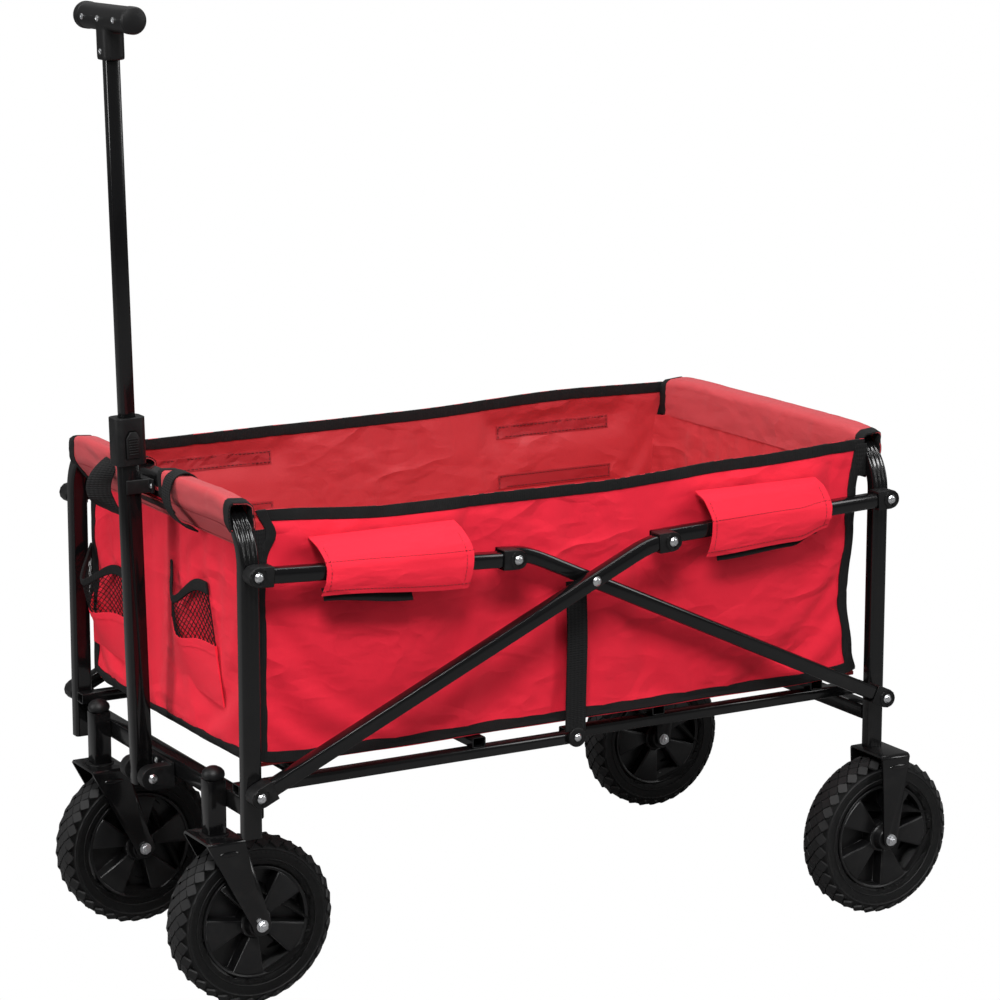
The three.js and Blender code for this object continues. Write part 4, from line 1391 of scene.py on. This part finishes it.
# %% [markdown]
# ## Sleeves over the rails
# A sleeve is the top of the end panel, turned over the rail and sewn down again, and it carries
# the whole load. It is tight over the tube, slopes back to its seam in front, and follows the tube
# a little way round each corner. The front sleeve is open in the middle, where the handle's clip
# is, and its cut edges are bound.

# %% Sleeves
SLEEVE_END = 0.206
SLEEVE_FOLLOWS = 0.28  # how much of the bend the stiff cloth follows
CLIP_WINDOW = (0.034, 0.512)  # half its width, and its lower edge


def rail_drop(y):
    """How far the bent tube has dropped at a place across the wagon."""
    past = min(max(0.0, abs(y) - BEND_Y), LEG_BEND * 0.98)
    return LEG_BEND - math.sqrt(LEG_BEND**2 - past**2)


def sleeve_section(outward_x, panel_x, seam_z):
    """The sleeve across the rail as (x, z): from the outer seam, over the tube, to the inside."""
    rail_x = FRONT_X if outward_x < 0 else REAR_X
    o = outward_x
    return [
        (panel_x + o * 0.003, seam_z), (rail_x + o * 0.0080, 0.5165), (rail_x + o * 0.0122, 0.5250),
        (rail_x + o * 0.0130, 0.5340), (rail_x + o * 0.0132, 0.5435), (rail_x + o * 0.0120, 0.5478),
        (rail_x + o * 0.0090, 0.5490), (rail_x - o * 0.0070, 0.5476), (rail_x - o * 0.0125, 0.5430),
        (rail_x - o * 0.0138, 0.5300), (rail_x - o * 0.0138, 0.5150), (panel_x - o * 0.0022, 0.5020),
    ]


def along_section(points, v):
    lengths = [math.dist(a, b) for a, b in zip(points, points[1:])]
    want = v * sum(lengths)
    for (a, b), length in zip(zip(points, points[1:]), lengths):
        if want <= length:
            t = want / length
            return a[0] + (b[0] - a[0]) * t, a[1] + (b[1] - a[1]) * t
        want -= length
    return points[-1]


front_section = sleeve_section(-1, BAG_FRONT, 0.494)
SLEEVE_GIRTH = sum(math.dist(a, b) for a, b in zip(front_section, front_section[1:]))


def in_window(place, grow=0.0):
    return abs(place.y) < CLIP_WINDOW[0] + grow and place.z > CLIP_WINDOW[1] - grow


def sleeve(name, outward_x, body, window):
    panel_x = BAG_FRONT if outward_x < 0 else BAG_REAR
    points = sleeve_section(outward_x, panel_x, 0.494)

    def place(u, v):
        y = (2 * u - 1) * SLEEVE_END
        x, z = along_section(points, v)
        over = smoothstep(0.500, 0.530, z)
        z -= SLEEVE_FOLLOWS * rail_drop(y) * over
        soft = 0.0009 * waves(y, v, 16, 41 + outward_x) + 0.0007 * waves(y * 2, v * 3, 22, 43)
        soft -= 0.0012 * creased(y, v * 0.06, 16, 44 + outward_x) * (1 - v) * v * 4
        lift = 0.0013 * waves(y, 0.3, 9, 47 + outward_x)
        return x + outward_x * soft, y, z + lift * over

    long = 2 * SLEEVE_END
    cloth = cloth_grid(name, steps_for(long, 0.004), 34, place, (long, SLEEVE_GIRTH))
    ring = (lambda c: in_window(c, 0.008)) if window else None
    tape = border(cloth, name + "_tape", rows=3, sides="lr", thick=0.0030, also=ring)
    for piece in (cloth, tape) if window else ():
        select_faces(piece, lambda c, n: in_window(c))
        bpy.ops.mesh.delete(type="FACE")
        out_of_edit()
    dressed(tape, body, TAPE)
    if outward_x < 0:
        cloth.data.flip_normals()
    thickened(cloth, 0.0011)
    outward(cloth)
    # The sleeve's outer face takes the red cloth with painted sheen and shade in its colour.
    dressed(cloth, body, [SLEEVE_SHEEN_AND_SHADE, RED_BACK])
    proud = Vector((outward_x * 0.0008, 0, 0))
    spans = ((0.03, 0.40), (0.60, 0.97)) if window else ((0.03, 0.97),)
    runs = [(0.025, 0.03, 0.97)] + [(0.24, *span) for span in spans]
    seams = [
        stitches("seam", [Vector(place(u0 + (u1 - u0) * k / 60, v)) + proud for k in range(61)])
        for v, u0, u1 in runs
    ]
    dressed(joined(name + "_seams", seams), body, THREAD)
    return cloth


sleeve("front_sleeve", -1, "front_frame", window=True)
sleeve("rear_sleeve", 1, "rear_frame", window=False)
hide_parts("bag_front_panel")
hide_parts("bag_rear_panel")
print("sleeve girth", round(SLEEVE_GIRTH, 4))

# %% [markdown]
# ## Flaps over the side links
# Four flaps are sewn to the side panels, wrap the links and close underneath with a strip of hook
# tape, which keeps the top edge of the bag up. Each flap is a grid bent over its tube, and its
# lower corner hangs as it was pressed down, so the four edges are given as they lie.

# %% Flaps
FLAPS = {
    "front": ("front_links", *FLAP_SPANS[0], 0.2512, ((0, 0.449), (1, 0.438)), (-0.327, -0.225)),
    "rear": ("rear_links", *FLAP_SPANS[1], 0.2462, ((0, 0.436), (0.75, 0.441), (1, 0.452)), (0.150, 0.280)),
}
HOOK_WIDE = 0.011


def flap_place(x_from, x_to, out_y, low, sign):
    def place(u, v):
        bulge = 1 + 0.07 * math.sin(math.pi * v) * (1 if u > 0.5 else -1) * (2 * abs(u - 0.5)) ** 3
        x = x_from + (x_to - x_from) * (0.5 + (u - 0.5) * bulge)
        hem = between_points(low, u)
        path = [
            (0.2175, FLAP_SEAM), (0.2300, FLAP_SEAM - 0.007), (out_y - 0.007, FLAP_SEAM - 0.0195),
            (out_y - 0.0012, FLAP_SEAM - 0.028), (out_y, 0.462), (out_y - 0.001, hem + 0.010),
            (out_y - 0.004, hem),
        ]
        y, z = along_section(path, v)
        wrinkle = 0.0014 * max(-0.3, waves(x, z, 24, 51)) * math.sin(math.pi * v)
        return x, sign * (y + wrinkle), z

    return place


for end, (body, x_from, x_to, out_y, low, strip) in FLAPS.items():
    for side, sign in SIDES.items():
        place = flap_place(x_from, x_to, out_y, low, sign)
        tall = 0.100
        flap = cloth_grid(f"{end}_flap_{side}", 34, 22, place, (x_to - x_from, tall))
        if sign < 0:
            flap.data.flip_normals()
        thickened(flap, 0.0013)
        dressed(flap, body, [RED, RED_BACK])
        raised = Vector((0, sign * 0.0008, 0))
        rows = [[(u / 20, v) for u in range(21)] for v in (0.50, 0.93)]
        rows += [[(u, v / 12) for v in range(3, 12)] for u in (0.04, 0.96)]
        seam = [stitches("seam", [Vector(place(u, v)) + raised for u, v in row]) for row in rows]
        dressed(joined(f"{end}_flap_seam_{side}", seam), body, THREAD)
        hook = cloth_grid(
            f"{end}_hook_strip_{side}", 20, 5,
            lambda u, v: (
                strip[0] + (strip[1] - strip[0]) * u,
                sign * (out_y - 0.008 - 0.006 * v + 0.001 * math.sin(5 * u)),
                between_points(low, u) - 0.0065 + (HOOK_WIDE + 0.001) * v,
            ),
            (strip[1] - strip[0], HOOK_WIDE),
        )
        thickened(hook, 0.0016, backing=0)
        dressed(hook, body, HOOK_STRIP)
print("flaps:", len(FLAPS) * 2)

# %% [markdown]
# The flaps are sewn through the side panels, so a rectangle of dark stitches shows inside behind
# each one. Every stitch lies on the panel's nearest point, just inside the cloth.

# %% Seams behind the flaps
PATCHES = ((0.430, 0.447), (0.490, 0.506))  # each one's lower and upper edge


def inside_panel(side, x, z):
    """The panel's inner surface nearest to a place along and up the wagon."""
    nearest = min(panel_points[side], key=lambda p: (p.x - x) ** 2 + (p.z - z) ** 2)
    return Vector((x, nearest.y - SIDES[side] * 0.0011, z))


for side, sign in SIDES.items():
    runs, patches = [], []
    for body, x_from, x_to, *rest in FLAPS.values():
        for z_low, z_high in PATCHES:
            patch = cloth_grid(
                "patch", 26, 3,
                lambda u, v: inside_panel(side, x_from + (x_to - x_from) * u, z_low + (z_high - z_low) * v),
                (x_to - x_from, z_high - z_low),
            )
            modifier(patch, "SOLIDIFY", thickness=0.0010, offset=0.0)
            patches.append(patch)
            corners = [(x_from, z_low), (x_from, z_high), (x_to, z_high), (x_to, z_low), (x_from, z_low)]
            path = []
            for (x0, z0), (x1, z1) in zip(corners, corners[1:]):
                for step in range(12):
                    x, z = x0 + (x1 - x0) * step / 12, z0 + (z1 - z0) * step / 12
                    x = min(max(x, x_from + 0.002), x_to - 0.002)
                    z = min(max(z, z_low + 0.002), z_high - 0.002)
                    path.append(inside_panel(side, x, z) - Vector((0, sign * 0.0006, 0)))
            runs.append(stitches("seam", path, pitch=0.0050, long=0.0032, wide=0.0007))
    for name, pieces, finish in (("seams", runs, DARK_THREAD), ("patches", patches, RED_PATCH)):
        piece = dressed(joined(f"inner_{name}_{side}", pieces), None, finish)
        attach(piece, "rear_frame")
        folds_with_the_frame(piece)
    print(side, "stitched runs:", len(runs))

# %% [markdown]
# ## Webbing
# Straps are flat strips: a grid one strip wide is laid along a path, and its width direction can
# turn on the way, which is how a loop twists. The ribs of the weave come from the finish.


# %% Straps and loops
def strap(name, path, across, wide, thick=0.0018, columns=4, rows=40):
    """A strip laid along points; across lists its width direction from its start to its end."""
    points = [Vector(p) for p in path]
    count = len(points) - 1

    def centre(v):
        t = v * count
        i = min(int(t), count - 1)
        before, after = points[max(i - 1, 0)], points[min(i + 2, count)]
        a, b, f = points[i], points[i + 1], t - i
        return 0.5 * (
            2 * a + (b - before) * f + (2 * before - 5 * a + 4 * b - after) * f**2
            + (3 * a - before - 3 * b + after) * f**3
        )

    def place(u, v):
        t = v * (len(across) - 1)
        i = min(int(t), len(across) - 2)
        direction = Vector(across[i]).lerp(Vector(across[i + 1]), t - i).normalized()
        return centre(v) + direction * (u - 0.5) * wide

    long = sum((centre((i + 1) / 60) - centre(i / 60)).length for i in range(60))
    strip = cloth_grid(name, columns, rows, place, (wide, long))
    thickened(strip, thick, backing=0)
    modifier(strip, "BEVEL", width=0.0004, segments=1, limit_method="ANGLE", angle_limit=math.radians(60))
    smooth(strip, 40)
    return strip, long


near_loop = [
    (-0.3875, -0.066, 0.5440), (-0.3950, -0.066, 0.5500), (-0.4060, -0.067, 0.5515),
    (-0.4165, -0.068, 0.5450), (-0.4215, -0.071, 0.5300), (-0.4195, -0.076, 0.5140),
    (-0.4100, -0.081, 0.5010), (-0.3960, -0.085, 0.4940),
]
far_loop = [
    (-0.3990, 0.088, 0.5440), (-0.4110, 0.089, 0.5390), (-0.4215, 0.091, 0.5270),
    (-0.4270, 0.093, 0.5120), (-0.4260, 0.091, 0.5000), (-0.4190, 0.088, 0.4890),
    (-0.4060, 0.085, 0.4790), (-0.3960, 0.083, 0.4770),
]
ACROSS = (0, 1, 0)
TURNED = (-0.87, 0.49, 0)
for name, path, across, wide in (
    ("front_loop_left", near_loop, (ACROSS, (0, 1, 0.12)), 0.0195),
    ("front_loop_right", far_loop, (ACROSS, (-0.4, 0.9, 0), TURNED, TURNED, (-0.3, 0.9, 0.1), ACROSS), 0.027),
):
    loop, long = strap(name, path, across, wide)
    dressed(loop, "front_frame", WEBBING)

STRAP_WIDE = 0.025
for side, sign in SIDES.items():
    path = [
        (MID_X, sign * 0.2124, 0.256),
        (MID_X + 0.001, sign * 0.2120, 0.300),
        (MID_X + 0.002, sign * 0.2122, 0.360),
        (MID_X, sign * 0.2124, 0.421),
    ]
    hanging, long = strap(f"floor_strap_{side}", path, ((1, 0, 0), (1, 0, 0)), STRAP_WIDE)
    dressed(hanging, "centre_straps", WEBBING, f"centre_strap_{side}")
    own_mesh(hanging)
print("straps done")

# %% [markdown]
# Above the end panels the corner of the bag is closed by a short black piece from the side's tape to the leg.
# It stands partly for that corner's webbing and partly for the shadow there, as painted shadow.

# %% Corner gussets, with painted shadow
for side, sign in SIDES.items():
    for end, x_bag, x_leg, z_low, z_high in (
        ("front", -0.3740, -0.3920, 0.478, 0.515), ("rear", 0.3520, 0.3670, 0.497, 0.533),
    ):
        y = sign * 0.2078
        middle = (z_low + z_high) / 2
        path = [(x_bag, y, middle), ((x_bag + x_leg) / 2, y + sign * 0.001, middle), (x_leg, y, middle)]
        # A dark strip: partly the corner's tape, partly painted shadow in the corner.
        webbing_and_shadow, long = strap(f"{end}_gusset_{side}", path, ((0, 0, 1), (0, 0, 1)), z_high - z_low, rows=6)
        dressed(webbing_and_shadow, f"{end}_frame", WEBBING)

# %% [markdown]
# ## Mesh pockets
# Each pocket on the front is red cloth below and open netting above, gathered by an elastic rim
# that stands away from the panel. The net is a grid whose faces are poked into four and then
# dissolved back into diamonds, and the wireframe modifier turns its edges into cords.

# %% Pockets
POCKETS = {
    "left": {
        "foot": ((-0.012, 0.326), (-0.140, 0.316)),
        "rim": ((-0.014, 0.448), (-0.101, 0.440)),
        "tip": 0.30,
        "out": 0.014,
    },
    "right": {
        "foot": ((0.092, 0.306), (0.200, 0.312)),
        "rim": ((0.112, 0.410), (0.203, 0.424)),
        "tip": 0.72,
        "out": 0.028,
    },
}
NET_FROM = 0.46


def pocket_place(shape, low, high):
    (y0, z0), (y1, z1) = shape["foot"]
    (ry0, rz0), (ry1, rz1) = shape["rim"]

    def place(u, v):
        v = low + (high - low) * v
        y = (y0 + (y1 - y0) * u) * (1 - v) + (ry0 + (ry1 - ry0) * u) * v
        z = (z0 + (z1 - z0) * u) * (1 - v) + (rz0 + (rz1 - rz0) * u) * v
        lean = math.exp(-(((u - shape["tip"]) / 0.28) ** 2)) * math.sin(math.pi * u) ** 0.6
        z -= 0.032 * lean * v**1.5
        out = shape["out"] * lean * (v**0.9) + 0.004 * math.sin(math.pi * u) * math.sin(math.pi * v)
        return BAG_FRONT - 0.0035 - out, y, z

    return place


def diamonds(obj):
    """Turns a grid of squares into a net of diamonds."""
    in_edit(obj)
    bpy.ops.mesh.select_mode(type="EDGE")
    bpy.ops.mesh.select_all(action="SELECT")
    bpy.ops.mesh.poke()
    out_of_edit()
    old = obj["columns"] * obj["rows"]
    first_new = len(obj.data.vertices) - old
    select_edges(obj, lambda a, b: False)
    out_of_edit()
    for edge in obj.data.edges:
        edge.select = max(edge.vertices) < first_new
    counts = {}
    for face in obj.data.polygons:
        for key in face.edge_keys:
            counts[key] = counts.get(key, 0) + 1
    for edge in obj.data.edges:
        if counts.get(tuple(sorted(edge.vertices)), 0) < 2:
            edge.select = False
    bpy.ops.object.mode_set(mode="EDIT")
    bpy.ops.mesh.dissolve_edges(use_verts=False)
    out_of_edit()
    return obj


for side, shape in POCKETS.items():
    wide = abs(shape["foot"][0][0] - shape["foot"][1][0])
    lower = cloth_grid(f"pocket_{side}", 22, 12, pocket_place(shape, 0.0, NET_FROM), (wide, 0.055))
    if side == "right":
        lower.data.flip_normals()
    thickened(lower, 0.0014)
    outward(lower)
    dressed(lower, "front_frame", [RED, RED_BACK])
    net = cloth_grid(f"pocket_net_{side}", 14, 8, pocket_place(shape, NET_FROM - 0.02, 0.96), (wide, 0.065))
    diamonds(net)
    modifier(net, "WIREFRAME", thickness=0.0013, use_even_offset=False)
    dressed(smooth(net, 60), "front_frame", NET)
    rim_band = cloth_grid(f"pocket_rim_{side}", 30, 3, pocket_place(shape, 0.90, 1.0), (wide, 0.010))
    modifier(rim_band, "SOLIDIFY", thickness=0.0030, offset=0.0)
    modifier(rim_band, "BEVEL", width=0.0008, segments=2, limit_method="ANGLE", angle_limit=math.radians(50))
    dressed(smooth(rim_band, 50), "front_frame", TAPE)
    hem_place = pocket_place(shape, NET_FROM - 0.05, NET_FROM + 0.03)
    hem = cloth_grid(f"pocket_hem_{side}", 24, 3, hem_place, (wide, 0.010))
    modifier(hem, "SOLIDIFY", thickness=0.0026, offset=0.0)
    dressed(smooth(hem, 50), "front_frame", RED)
print("pockets:", len(POCKETS))

# %% [markdown]
# ## Small hard parts under the bag
# Where the two floor frames meet, a rounded bracket with a rivet joins them under each strap.

# %% Floor brackets
for side, sign in SIDES.items():
    bpy.ops.mesh.primitive_cylinder_add(vertices=28, radius=0.0108, depth=0.004, rotation=(math.pi / 2, 0, 0))
    bracket_plate = named(f"floor_bracket_{side}")
    settle(bracket_plate)
    select_faces(bracket_plate, lambda c, n: abs(n.y) > 0.9)
    bpy.ops.mesh.inset(thickness=0.0022, depth=0.0006)
    out_of_edit()
    modifier(
        bracket_plate, "BEVEL", width=0.0007, segments=2, limit_method="ANGLE", angle_limit=math.radians(40)
    )
    bracket_plate.data.transform(Matrix.Translation((-0.0105, sign * 0.2122, 0.2490)))
    dressed(smooth(bracket_plate, 35), "floor_front", PLASTIC)
    head = domed_rivet(f"floor_rivet_{side}", 0.0042, 0.0018)
    head.data.transform(at(-0.0105, sign * 0.2148, 0.2490, -sign))
    dressed(head, "floor_front", STEEL)
